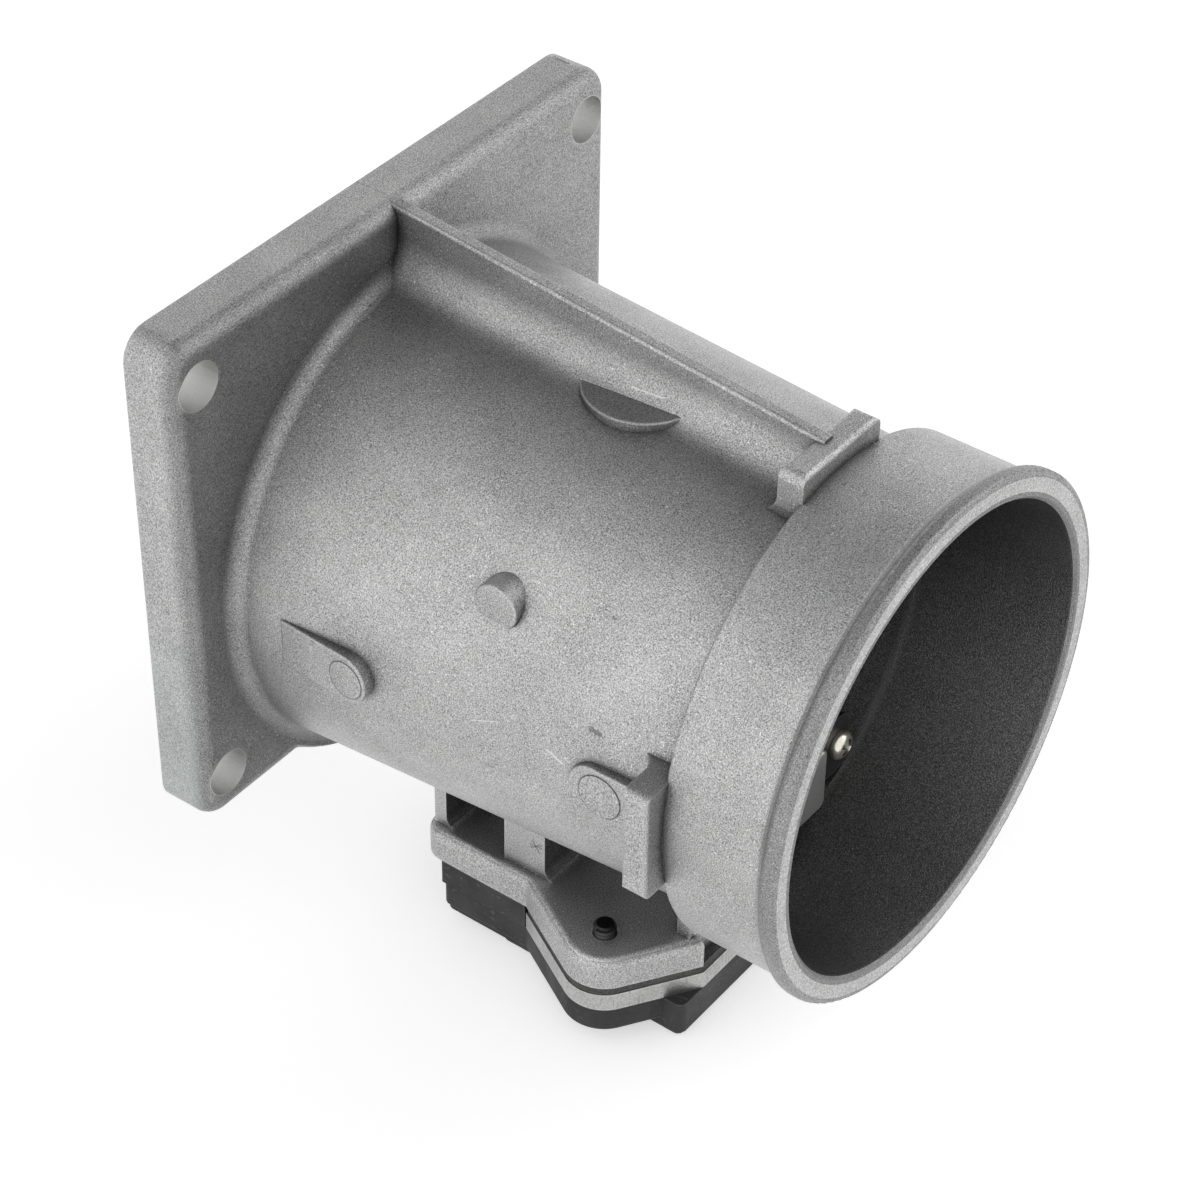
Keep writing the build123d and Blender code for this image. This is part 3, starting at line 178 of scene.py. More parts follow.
broad = remap(mottle, clouds.outputs["Fac"], 0.3, 0.7, -1.0, 1.0)
fine_part = combine(mottle, "MULTIPLY", fine, ins.outputs["Grain Share"])
broad_part = combine(mottle, "MULTIPLY", broad, ins.outputs["Cloud Share"])
tone = combine(mottle, "ADD", combine(mottle, "ADD", fine_part, broad_part), 1.0)
toned = add_node(mottle, "ShaderNodeVectorMath", operation="SCALE")
mottle.links.new(ins.outputs["Colour"], toned.inputs[0])
mottle.links.new(tone, toned.inputs["Scale"])
mottle.links.new(toned.outputs[0], outs.inputs["Colour"])
mottle.links.new(grain.outputs["Fac"], outs.inputs["Grain"])
mottle.links.new(clouds.outputs["Fac"], outs.inputs["Clouds"])

# Rubbed outer edges, inner corners darkened by grime and painted shade, and deep hollows
# that light hardly reaches, darkened as painted shade
CORNER_REACHES = 4.0
edges, ins, outs = start_group(
    "rubbed_edges_and_painted_shade",
    [("Reach", "NodeSocketFloat", 0.001), ("Hollow Reach", "NodeSocketFloat", 0.02)],
    [("Edge", "NodeSocketFloat"), ("Corner", "NodeSocketFloat"), ("Hollow", "NodeSocketFloat")],
)
outside = add_node(edges, "ShaderNodeAmbientOcclusion", samples=8, only_local=True)
inside = add_node(edges, "ShaderNodeAmbientOcclusion", samples=8, inside=True, only_local=True)
around = add_node(edges, "ShaderNodeAmbientOcclusion", samples=8)
edges.links.new(ins.outputs["Reach"], inside.inputs["Distance"])
corner_reach = combine(edges, "MULTIPLY", ins.outputs["Reach"], CORNER_REACHES)
edges.links.new(corner_reach, outside.inputs["Distance"])
edges.links.new(ins.outputs["Hollow Reach"], around.inputs["Distance"])
edges.links.new(remap(edges, inside.outputs["AO"], 0.98, 0.6), outs.inputs["Edge"])
edges.links.new(remap(edges, outside.outputs["AO"], 0.9, 0.3), outs.inputs["Corner"])
edges.links.new(remap(edges, around.outputs["AO"], 0.9, 0.2), outs.inputs["Hollow"])

# Sparse marks: specks where the stretch is even, scratches where it is long one way
SPECK_FADE = 0.05
PATCH_FADE = 0.08
marks, ins, outs = start_group(
    "sparse_marks",
    [
        ("Per Metre", "NodeSocketVector", (900.0, 900.0, 900.0)),
        ("Threshold", "NodeSocketFloat", 0.75),
        ("Patches per Metre", "NodeSocketFloat", 40.0),
        ("Patch Threshold", "NodeSocketFloat", 0.5),
    ],
    [("Mask", "NodeSocketFloat")],
)
place = add_node(marks, "ShaderNodeTexCoord")
stretched = add_node(marks, "ShaderNodeVectorMath", operation="MULTIPLY")
marks.links.new(place.outputs["Object"], stretched.inputs[0])
marks.links.new(ins.outputs["Per Metre"], stretched.inputs[1])
speck = add_node(marks, "ShaderNodeTexNoise", {"Scale": 1.0, "Detail": 1.0, "Roughness": 0.5})
patch = add_node(marks, "ShaderNodeTexNoise", {"Detail": 2.0, "Roughness": 0.6})
marks.links.new(stretched.outputs[0], speck.inputs["Vector"])
marks.links.new(place.outputs["Object"], patch.inputs["Vector"])
marks.links.new(ins.outputs["Patches per Metre"], patch.inputs["Scale"])
over = combine(marks, "SUBTRACT", speck.outputs["Fac"], ins.outputs["Threshold"])
near = combine(marks, "SUBTRACT", patch.outputs["Fac"], ins.outputs["Patch Threshold"])
marks.links.new(
    overlap(marks, remap(marks, over, 0.0, SPECK_FADE), remap(marks, near, 0.0, PATCH_FADE)),
    outs.inputs["Mask"],
)

# One mark between two points, with soft ragged sides
RAGS_PER_METRE = 2500.0
NARROWEST = 0.3
WIDEST = 1.5
SIDE_FADE = 0.4
stroke, ins, outs = start_group(
    "stroke",
    [
        ("Start", "NodeSocketVector", (0.0, 0.0, 0.0)),
        ("End", "NodeSocketVector", (0.0, 0.0, 0.001)),
        ("Half Width", "NodeSocketFloat", 0.0003),
    ],
    [("Mask", "NodeSocketFloat")],
)
place = add_node(stroke, "ShaderNodeTexCoord")
from_start = add_node(stroke, "ShaderNodeVectorMath", operation="SUBTRACT")
line = add_node(stroke, "ShaderNodeVectorMath", operation="SUBTRACT")
along = add_node(stroke, "ShaderNodeVectorMath", operation="DOT_PRODUCT")
length = add_node(stroke, "ShaderNodeVectorMath", operation="DOT_PRODUCT")
foot = add_node(stroke, "ShaderNodeVectorMath", operation="SCALE")
off_line = add_node(stroke, "ShaderNodeVectorMath", operation="DISTANCE")
stroke.links.new(place.outputs["Object"], from_start.inputs[0])
stroke.links.new(ins.outputs["Start"], from_start.inputs[1])
stroke.links.new(ins.outputs["End"], line.inputs[0])
stroke.links.new(ins.outputs["Start"], line.inputs[1])
for socket, value in (
    (along.inputs[0], from_start.outputs[0]),
    (along.inputs[1], line.outputs[0]),
    (length.inputs[0], line.outputs[0]),
    (length.inputs[1], line.outputs[0]),
    (foot.inputs[0], line.outputs[0]),
    (off_line.inputs[0], from_start.outputs[0]),
    (off_line.inputs[1], foot.outputs[0]),
):
    stroke.links.new(value, socket)
share = combine(stroke, "DIVIDE", along.outputs["Value"], length.outputs["Value"])
stroke.links.new(remap(stroke, share, 0.0, 1.0), foot.inputs["Scale"])
rag = add_node(stroke, "ShaderNodeTexNoise", {"Scale": RAGS_PER_METRE, "Detail": 2.0})
stroke.links.new(place.outputs["Object"], rag.inputs["Vector"])
width = combine(
    stroke,
    "MULTIPLY",
    ins.outputs["Half Width"],
    remap(stroke, rag.outputs["Fac"], 0.3, 0.7, NARROWEST, WIDEST),
)
widths_away = combine(stroke, "DIVIDE", off_line.outputs["Value"], width)
closeness = combine(stroke, "SUBTRACT", 1.0, widths_away)
stroke.links.new(remap(stroke, closeness, 0.0, SIDE_FADE), outs.inputs["Mask"])

MM = 0.001
CAST_COLOUR = (0.44, 0.443, 0.44)
CAST_DARK = (0.13, 0.132, 0.13)
CAST_BRIGHT = (0.72, 0.72, 0.71)
CAST_SPARK = (0.95, 0.95, 0.94)
CAST_TINGE = (0.4, 0.45, 0.44)
CAST_SHINY = 0.36
CAST_DULL = 0.46
HOLLOW_SHADE = -0.45
CORNER_SHADE = -0.85
BORE_SHADE = -0.72
PLATFORM_PAINTED_LIGHT = 0.75
FLANGE_PAINTED_SHADE = -0.27
FLANGE_LEFT_PAINTED_SHADE = -0.18
LIP_SHADE = -0.36
WEB_PAINTED_SHADOW = -0.3
PIN_LINE_SHADE = -0.6
THROAT_Y = -87.0 * MM
THROAT_WALL_R = 38.0 * MM
REAR_TAPER = 0.064
FRONT_TAPER = 0.12
SEAM_HALF = 0.2 * MM
SEAM_FADE = 1.2 * MM
PLATFORM_TOP_Z = -50.0 * MM
PLATFORM_NEAR = 0.3 * MM
FLANGE_FRONT_Y = -9.5 * MM
FLANGE_ROUND_Y = FLANGE_FRONT_Y + 3.0 * MM
FLANGE_FLAT_Y = FLANGE_FRONT_Y + 1.0 * MM
RIM_FADE_Y = FLANGE_FRONT_Y - 2.5 * MM
RIM_FOOT_Y = FLANGE_FRONT_Y - 0.5 * MM
LEFT_HALF_X = 4.0 * MM
LEFT_HALF_FULL_X = -12.0 * MM
LIP_FACE_Y = -113.2 * MM
LIP_BACK_Y = -111.0 * MM
LIP_INNER_R = 43.6 * MM
WEB_FOOT_X = -4.0 * MM
WEB_SHADE_NEAR_X = -8.0 * MM
WEB_SHADE_FADE_X = -10.0 * MM
WEB_SHADE_END_X = -28.0 * MM
BARREL_FOOT_Y = -14.0 * MM
BARREL_FULL_Y = -22.0 * MM
BARREL_END_Y = -92.4 * MM
TOP_BAR_BACK_Y = -84.0 * MM
TOP_BAR_FOOT_R = 41.3 * MM
TINGE_SIDE_X = -53.0 * MM
TINGE_FULL_X = -53.8 * MM
TINGE_TOP_Z = 5.0 * MM
TINGE_FULL_Z = -35.0 * MM
BOLT_X = 48.0 * MM
BOLT_Z = 39.0 * MM
BOLT_MIDDLE_Z = 8.8 * MM
BOLT_WALL_R = 4.25 * MM
MILLED_DEPTH = 0.02 * MM
MILLED_SMOOTHER = 0.2
MILLED_DARK = (0.54, 0.54, 0.54)
MILLED_LIGHT = (0.6, 0.6, 0.6)
CUTTER_CENTRE = (0.12, 0.0, 0.05)
ARC_RELIEF = 0.1
PADS_X = -40.0 * MM
PIN_LINE_HALF = 0.05 * MM
PIN_LINE_FADE = 0.22 * MM
GRAIN_DEPTH = 0.1 * MM

cast_aluminium, tree, shader = start_finish("cast_aluminium", CAST_COLOUR, 1.0, 0.5)
skin = use_group(
    tree,
    mottle,
    Colour=(*CAST_COLOUR, 1),
    Grains_per_Metre=4600.0,
    Grain_Share=0.75,
    Clouds_per_Metre=90.0,
    Cloud_Share=0.1,
)
wear_and_shade = use_group(tree, edges, Reach=0.6 * MM, Hollow_Reach=25 * MM)
specks = use_group(
    tree,
    marks,
    Per_Metre=(3000.0, 3000.0, 3000.0),
    Threshold=0.675,
    Patches_per_Metre=70.0,
    Patch_Threshold=0.47,
)
pits = use_group(
    tree,
    marks,
    Per_Metre=(900.0, 900.0, 900.0),
    Threshold=0.74,
    Patches_per_Metre=60.0,
    Patch_Threshold=0.55,
)
scratches = use_group(
    tree,
    marks,
    Per_Metre=(260.0, 1500.0, 400.0),
    Threshold=0.7,
    Patches_per_Metre=35.0,
    Patch_Threshold=0.55,
)
# Painted shade in deep hollows, and painted shade in inner corners that also stands for grime
colour = shade(tree, wear_and_shade.outputs["Hollow"], skin.outputs["Colour"], HOLLOW_SHADE)
colour = shade(tree, wear_and_shade.outputs["Corner"], colour, CORNER_SHADE)
colour = blend_colour(tree, wear_and_shade.outputs["Edge"], colour, CAST_BRIGHT, 0.25)
colour = blend_colour(tree, specks.outputs["Mask"], colour, CAST_SPARK, 0.8)
colour = blend_colour(tree, pits.outputs["Mask"], colour, CAST_DARK, 0.6)
colour = blend_colour(tree, scratches.outputs["Mask"], colour, CAST_BRIGHT, 0.5)
place = add_node(tree, "ShaderNodeTexCoord")
axes = add_node(tree, "ShaderNodeSeparateXYZ")
tree.links.new(place.outputs["Object"], axes.inputs[0])


def flat_distance(tree, first, second):
    """Length of a pair of values at right angles."""
    squares = [combine(tree, "MULTIPLY", value, value) for value in (first, second)]
    return combine(tree, "SQRT", combine(tree, "ADD", *squares))


# Painted shade in the bore, darker than the outside
from_axis = flat_distance(tree, axes.outputs["X"], axes.outputs["Z"])
past_throat = combine(tree, "SUBTRACT", axes.outputs["Y"], THROAT_Y)
wall_middle = combine(
    tree,
    "ADD",
    combine(
        tree,
        "MAXIMUM",
        combine(tree, "MULTIPLY", past_throat, REAR_TAPER),
        combine(tree, "MULTIPLY", past_throat, -FRONT_TAPER),
    ),
    THROAT_WALL_R,
)
in_bore = combine(tree, "LESS_THAN", from_axis, wall_middle)
colour = shade(tree, in_bore, colour, BORE_SHADE)
bore_grains = overlap(tree, in_bore, remap(tree, skin.outputs["Grain"], 0.5, 0.72))
colour = blend_colour(tree, bore_grains, colour, CAST_COLOUR, 0.45)
# Painted light on the top of the platform, paler than the skin
on_platform = combine(tree, "COMPARE", axes.outputs["Z"], PLATFORM_TOP_Z, PLATFORM_NEAR)
colour = shade(tree, on_platform, colour, PLATFORM_PAINTED_LIGHT)
# Faint paler ring in the bore, where the two halves of the core met
at_seam = combine(tree, "ABSOLUTE", combine(tree, "SUBTRACT", axes.outputs["Y"], THROAT_Y))
seam = overlap(tree, in_bore, remap(tree, at_seam, SEAM_HALF, SEAM_FADE, 1.0, 0.0))
colour = blend_colour(tree, seam, colour, CAST_COLOUR, 0.25)
# Painted shade on the front of the flange, deeper on its left half, and a darker outer band of the
# lip
on_flange_front = overlap(
    tree,
    remap(tree, axes.outputs["Y"], FLANGE_ROUND_Y, FLANGE_FLAT_Y),
    remap(tree, axes.outputs["Y"], RIM_FADE_Y, RIM_FOOT_Y),
)
colour = shade(tree, on_flange_front, colour, FLANGE_PAINTED_SHADE)
left_half = remap(tree, axes.outputs["X"], LEFT_HALF_X, LEFT_HALF_FULL_X)
colour = shade(tree, overlap(tree, on_flange_front, left_half), colour, FLANGE_LEFT_PAINTED_SHADE)
on_lip_side = overlap(
    tree,
    combine(tree, "LESS_THAN", axes.outputs["Y"], LIP_BACK_Y),
    combine(tree, "GREATER_THAN", from_axis, LIP_INNER_R),
)
colour = shade(tree, on_lip_side, colour, LIP_SHADE)
# Painted shadow of the web on the barrel beside it, which ends at the crossbar and the collar
off_bar = combine(
    tree,
    "MAXIMUM",
    combine(tree, "GREATER_THAN", axes.outputs["Y"], TOP_BAR_BACK_Y),
    combine(tree, "LESS_THAN", from_axis, TOP_BAR_FOOT_R),
)
painted_web_shadow = overlap(
    tree,
    remap(tree, axes.outputs["X"], WEB_FOOT_X, WEB_SHADE_NEAR_X),
    remap(tree, axes.outputs["X"], WEB_SHADE_END_X, WEB_SHADE_FADE_X),
    remap(tree, axes.outputs["Y"], BARREL_FOOT_Y, BARREL_FULL_Y),
    combine(tree, "GREATER_THAN", axes.outputs["Y"], BARREL_END_Y),
    combine(tree, "GREATER_THAN", axes.outputs["Z"], 0.0),
    off_bar,
)
colour = shade(tree, painted_web_shadow, colour, WEB_PAINTED_SHADOW)
# Thin blue-green tinge low on the flange's left side
low_left = overlap(
    tree,
    remap(tree, axes.outputs["X"], TINGE_SIDE_X, TINGE_FULL_X),
    remap(tree, axes.outputs["Z"], TINGE_TOP_Z, TINGE_FULL_Z),
)
colour = blend_colour(tree, low_left, colour, CAST_TINGE, 0.45)
# Painted light on the inner band of the lip's face
on_lip_face = overlap(
    tree,
    combine(tree, "LESS_THAN", axes.outputs["Y"], LIP_FACE_Y),
    combine(tree, "LESS_THAN", from_axis, LIP_INNER_R),
)
colour = blend_colour(tree, on_lip_face, colour, CAST_BRIGHT, 0.12)
# Drilled walls of the bolt holes
beside_bolt = combine(tree, "SUBTRACT", combine(tree, "ABSOLUTE", axes.outputs["X"]), BOLT_X)
above_middle = combine(tree, "SUBTRACT", axes.outputs["Z"], BOLT_MIDDLE_Z)
above_bolt = combine(tree, "SUBTRACT", combine(tree, "ABSOLUTE", above_middle), BOLT_Z)
drilled = combine(tree, "LESS_THAN", flat_distance(tree, beside_bolt, above_bolt), BOLT_WALL_R)
colour = blend_colour(tree, drilled, colour, CAST_BRIGHT, 0.9)
# Milled mounting face, with the arcs of the cutter
milled = combine(tree, "GREATER_THAN", axes.outputs["Y"], -MILLED_DEPTH)
cutter_arcs = add_node(
    tree,
    "ShaderNodeTexWave",
    {"Scale": 900.0, "Distortion": 0.8, "Detail": 1.0},
    wave_type="RINGS",
    rings_direction="SPHERICAL",
)
cutter_centre = add_node(tree, "ShaderNodeMapping", {"Location": CUTTER_CENTRE})
tree.links.new(place.outputs["Object"], cutter_centre.inputs["Vector"])
tree.links.new(cutter_centre.outputs["Vector"], cutter_arcs.inputs["Vector"])
arc_tone = blend_colour(tree, cutter_arcs.outputs["Fac"], MILLED_DARK, MILLED_LIGHT)
colour = blend_colour(tree, milled, colour, arc_tone)
# Fine dark line where each ejector pin met the die
PIN_MARKS = (
    (Vector((-44.62, -33.0, 0.0)) * MM, (-1, 0.06, 0), 3.4 * MM),
    (Vector((-41.56, -80.2, -0.3)) * MM, (-1, 0, 0), 3.9 * MM),
)
on_pads = combine(tree, "LESS_THAN", axes.outputs["X"], PADS_X)
for centre, _, pin_r in PIN_MARKS:
    along = combine(tree, "SUBTRACT", axes.outputs["Y"], centre.y)
    above = combine(tree, "SUBTRACT", axes.outputs["Z"], centre.z)
    off_ring = combine(tree, "SUBTRACT", flat_distance(tree, along, above), pin_r)
    off_ring = combine(tree, "ABSOLUTE", off_ring)
    ring = remap(tree, off_ring, PIN_LINE_HALF, PIN_LINE_FADE, 1.0, 0.0)
    colour = shade(tree, overlap(tree, on_pads, ring), colour, PIN_LINE_SHADE)
# Handling marks: rubbed flecks and hairlines, a pit, a smudge and a nick in the flange
PALE_MARKS = (
    ((-2.98, -56.7, 43.1), (-2.6, -62.3, 43.2), 0.16),
    ((15.98, -96.8, 40.2), (18.0, -99.2, 39.4), 0.14),
    ((-40.7, -69.8, 2.9), (-40.7, -72.5, 1.5), 0.3),
    ((-41.6, -55.4, 1.7), (-41.2, -60.9, 4.0), 0.12),
    ((-37.8, -58.4, 16.8), (-38.5, -62.8, 14.6), 0.1),
    ((-38.5, -62.8, 14.6), (-39.5, -67.4, 10.8), 0.1),
    ((-37.7, -88.6, 12.7), (-37.7, -88.9, 12.7), 0.22),
)
DARK_MARKS = (
    ((-31.6, -75.1, 25.4), (-31.6, -75.4, 25.5), 0.35),
    ((-39.2, -76.8, 9.8), (-39.2, -78.2, 9.7), 0.7),
    ((15.4, -9.5, 47.0), (15.6, -9.5, 46.8), 0.3),
    ((49.5, -1.8, 56.0), (49.5, -4.4, 56.0), 0.35),
    ((0.0, 0.0, 56.0), (0.0, -6.6, 56.0), 0.12),
    ((-20.0, -50.8, -42.6), (-20.0, -52.2, -44.6), 0.25),
    ((-20.0, -52.6, -42.8), (-20.0, -50.6, -44.3), 0.2),
    ((-20.0, -50.4, -43.6), (-20.0, -52.9, -43.5), 0.15),
)
for spots, mark_colour, strength in ((PALE_MARKS, CAST_BRIGHT, 0.8), (DARK_MARKS, CAST_DARK, 0.7)):
    for first, last, half_width in spots:
        mark = use_group(
            tree,
            stroke,
            Start=Vector(first) * MM,
            End=Vector(last) * MM,
            Half_Width=half_width * MM,
        )
        colour = blend_colour(tree, mark.outputs["Mask"], colour, mark_colour, strength)
tree.links.new(colour, shader.inputs["Base Color"])
rough = remap(tree, skin.outputs["Grain"], 0.3, 0.7, CAST_DULL, CAST_SHINY)
rough = combine(tree, "SUBTRACT", rough, combine(tree, "MULTIPLY", milled, MILLED_SMOOTHER))
tree.links.new(rough, shader.inputs["Roughness"])
relief = add_node(tree, "ShaderNodeMix", data_type="FLOAT")
tree.links.new(milled, relief.inputs["Factor"])
tree.links.new(skin.outputs["Grain"], relief.inputs["A"])
arc_height = combine(tree, "MULTIPLY", cutter_arcs.outputs["Fac"], ARC_RELIEF)
tree.links.new(arc_height, relief.inputs["B"])
raise_grain(tree, shader, relief.outputs["Result"], GRAIN_DEPTH)


def dress(node_name, material, slot):
    """Gives a carried-over solid its material. The slot is not used."""
    piece = nodes[node_name]
    piece.data.materials.clear()
    piece.data.materials.append(material)


dress("sensor_body", cast_aluminium, "cast_aluminium")


# Ejector pin marks
# Round prints of the die's ejector pins in the two pads on the duct's side. Each is a
# shallow disc of the casting itself with a fine step round it.
def rounded(centre_r, centre_z, radius, start, end, steps):
    """Points of a profile along an arc, angles in degrees."""
    points = []
    for i in range(steps + 1):
        angle = math.radians(start + (end - start) * i / steps)
        points.append((centre_r + radius * math.cos(angle), centre_z + radius * math.sin(angle)))
    return points


LATHE_WELD = 1e-7


def lathe(mesh, profile, steps):
    """Turns a profile of radii and heights round the Z axis into a closed skin."""
    verts = [mesh.verts.new((radius, 0, height)) for radius, height in profile]
    lines = [mesh.edges.new(pair) for pair in zip(verts, verts[1:])]
    bmesh.ops.spin(
        mesh,
        geom=verts + lines,
        cent=(0, 0, 0),
        axis=(0, 0, 1),
        angle=math.tau,
        steps=steps,
        use_merge=True,
    )
    bmesh.ops.remove_doubles(mesh, verts=mesh.verts, dist=LATHE_WELD)
    bmesh.ops.recalc_face_normals(mesh, faces=mesh.faces)


def aim(centre, outward):
    """Placement that turns local +Z to a direction at a point."""
    turn = Vector(outward).to_track_quat("Z", "Y").to_matrix().to_4x4()
    return Matrix.Translation(centre) @ turn


def finish_piece(name, mesh, material, smooth_angle=35.0):
    """Makes an object of a mesh, smooth below an angle, and sets it on the body."""
    data = bpy.data.meshes.new(name)
    mesh.to_mesh(data)
    mesh.free()
    piece = bpy.data.objects.new(name, data)
    bpy.context.scene.collection.objects.link(piece)
    data.materials.append(material)
    data.shade_smooth()
    data.set_sharp_from_angle(angle=math.radians(smooth_angle))
    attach(piece, "root")
    return piece


PIN_STEP = 0.1 * MM
PIN_SUNK = 1.6 * MM
PIN_EDGE = 0.06 * MM
mesh = bmesh.new()
for centre, outward, pin_r in PIN_MARKS:
    print_disc = bmesh.new()
    profile = [(0, -PIN_SUNK), (pin_r, -PIN_SUNK), (pin_r, PIN_STEP - PIN_EDGE)]
    profile += rounded(
        pin_r - PIN_EDGE, PIN_STEP - PIN_EDGE, PIN_EDGE, start=0, end=90, steps=3
    )
    lathe(print_disc, profile + [(0, PIN_STEP)], steps=96)
    bmesh.ops.transform(print_disc, matrix=aim(centre, outward), verts=print_disc.verts)
    held = bpy.data.meshes.new("held")
    print_disc.to_mesh(held)
    print_disc.free()
    mesh.from_mesh(held)
finish_piece("ejector_pin_marks", mesh, cast_aluminium)


# End plug of the bypass passage
# A short square plug pressed from bright aluminium. Its face is satin with faint scuffs,
# and its flange is clamped behind the retaining plate.
def make_finish(name, colour, metallic, roughness, grains, clouds, relief, edge, grime_and_shade):
    """A finish from a plain colour, its grain and cloud patterns as (per metre, share),
    its relief in metres, and its edge colour and its corner colour of grime and painted
    shade as (colour, share)."""
    material, tree, shader = start_finish(name, colour, metallic, roughness[0])
    skin = use_group(
        tree,
        mottle,
        Colour=(*colour, 1),
        Grains_per_Metre=grains[0],
        Grain_Share=grains[1],
        Clouds_per_Metre=clouds[0],
        Cloud_Share=clouds[1],
    )
    wear_and_shade = use_group(tree, edges, Reach=0.35 * MM, Hollow_Reach=8 * MM)
    # Inner corners darkened by grime and painted shade, then rubbed edges made brighter
    mixed = blend_colour(tree, wear_and_shade.outputs["Corner"], skin.outputs["Colour"], *grime_and_shade)
    mixed = blend_colour(tree, wear_and_shade.outputs["Edge"], mixed, *edge)
    tree.links.new(mixed, shader.inputs["Base Color"])
    rough = remap(tree, skin.outputs["Clouds"], 0.35, 0.65, *roughness)
    tree.links.new(rough, shader.inputs["Roughness"])
    raise_grain(tree, shader, skin.outputs["Grain"], relief)
    return material, tree, shader, mixed


plug_aluminium, tree, shader, colour = make_finish(
    "plug_aluminium",
    colour=(0.5, 0.5, 0.495),
    metallic=1.0,
    roughness=(0.46, 0.36),
    grains=(3000.0, 0.2),
    clouds=(140.0, 0.12),
    relief=0.04 * MM,
    edge=((0.8, 0.8, 0.79), 0.6),
    grime_and_shade=((0.1, 0.1, 0.1), 0.8),
)
SCUFF_COLOUR = (0.75, 0.75, 0.74)
scuffs = use_group(
    tree,
    marks,
    Per_Metre=(3000.0, 400.0, 500.0),
    Threshold=0.66,
    Patches_per_Metre=120.0,
    Patch_Threshold=0.45,
)
colour = blend_colour(tree, scuffs.outputs["Mask"], colour, SCUFF_COLOUR, 0.5)
tree.links.new(colour, shader.inputs["Base Color"])
dress("bypass_end_plug", plug_aluminium, "plug_aluminium")


# Retaining plate
# A plate punched from thin steel sheet with the streaks of its rolling, its colour darkened
# nearly to black as painted shade. Two small screws press it and the end plug against the head of
# the tower.
plate_steel, tree, shader, colour = make_finish(
    "plate_steel",
    colour=(0.07, 0.07, 0.072),
    metallic=1.0,
    roughness=(0.5, 0.4),
    grains=(3500.0, 0.3),
    clouds=(160.0, 0.2),
    relief=0.03 * MM,
    edge=((0.35, 0.35, 0.35), 0.4),
    grime_and_shade=((0.03, 0.03, 0.03), 0.9),
)
ROLLING_COLOUR = (0.15, 0.15, 0.155)
rolling = use_group(
    tree,
    marks,
    Per_Metre=(120.0, 2500.0, 2500.0),
    Threshold=0.6,
    Patches_per_Metre=60.0,
    Patch_Threshold=0.4,
)
colour = blend_colour(tree, rolling.outputs["Mask"], colour, ROLLING_COLOUR, 0.4)
tree.links.new(colour, shader.inputs["Base Color"])
dress("bypass_retaining_plate", plate_steel, "plate_steel")


# Screws of the retaining plate
# Two cold-headed M3 screws with a domed pan head and a cross recess, zinc plated with a
# pale yellow tinge. They pull the plate against the head of the tower.
RECESS_FLOOR_SPAN = 0.5
RECESS_FLOOR_WIDTH = 0.7
RECESS_ABOVE = 0.5 * MM
RECESS_WELD = 0.002 * MM


def sink_recess(mesh, span, width, depth, top):
    """Cuts a cross recess into a head whose highest point is given."""
    head_data = bpy.data.meshes.new("head")
    mesh.to_mesh(head_data)
    mesh.free()
    head = bpy.data.objects.new("head", head_data)
    bpy.context.scene.collection.objects.link(head)
    for turn in (0, math.pi / 2):
        cutter_mesh = bmesh.new()
        arm = bmesh.ops.create_cube(cutter_mesh, size=1.0)["verts"]
        for vert in arm:
            at_mouth = vert.co.z > 0
            vert.co.x *= span if at_mouth else span * RECESS_FLOOR_SPAN
            vert.co.y *= width if at_mouth else width * RECESS_FLOOR_WIDTH
            vert.co.z = top + RECESS_ABOVE if at_mouth else top - depth
        bmesh.ops.rotate(
            cutter_mesh, verts=arm, cent=(0, 0, 0), matrix=Matrix.Rotation(turn, 3, "Z")
        )
        cutter_data = bpy.data.meshes.new("driver")
        cutter_mesh.to_mesh(cutter_data)
        cutter_mesh.free()
        cutter = bpy.data.objects.new("driver", cutter_data)
        bpy.context.scene.collection.objects.link(cutter)
        cut = head.modifiers.new("recess", "BOOLEAN")
        cut.operation = "DIFFERENCE"
        cut.solver = "EXACT"
        cut.object = cutter
        seen = head.evaluated_get(bpy.context.evaluated_depsgraph_get())
        cut_data = bpy.data.meshes.new_from_object(seen)
        head.modifiers.clear()
        head.data = cut_data
        bpy.data.objects.remove(cutter)
    done = bmesh.new()
    done.from_mesh(head.data)
    bpy.data.objects.remove(head)
    bmesh.ops.remove_doubles(done, verts=done.verts, dist=RECESS_WELD)
    bmesh.ops.dissolve_degenerate(done, edges=done.edges, dist=RECESS_WELD)
    return done


def repeat(mesh, placements):
    """One mesh with a copy of another at each placement."""
    single = bpy.data.meshes.new("single")
    mesh.to_mesh(single)
    mesh.free()
    group = bmesh.new()
    for placement in placements:
        before = len(group.verts)
        group.from_mesh(single)
        group.verts.ensure_lookup_table()
        bmesh.ops.transform(group, matrix=placement, verts=group.verts[before:])
    return group


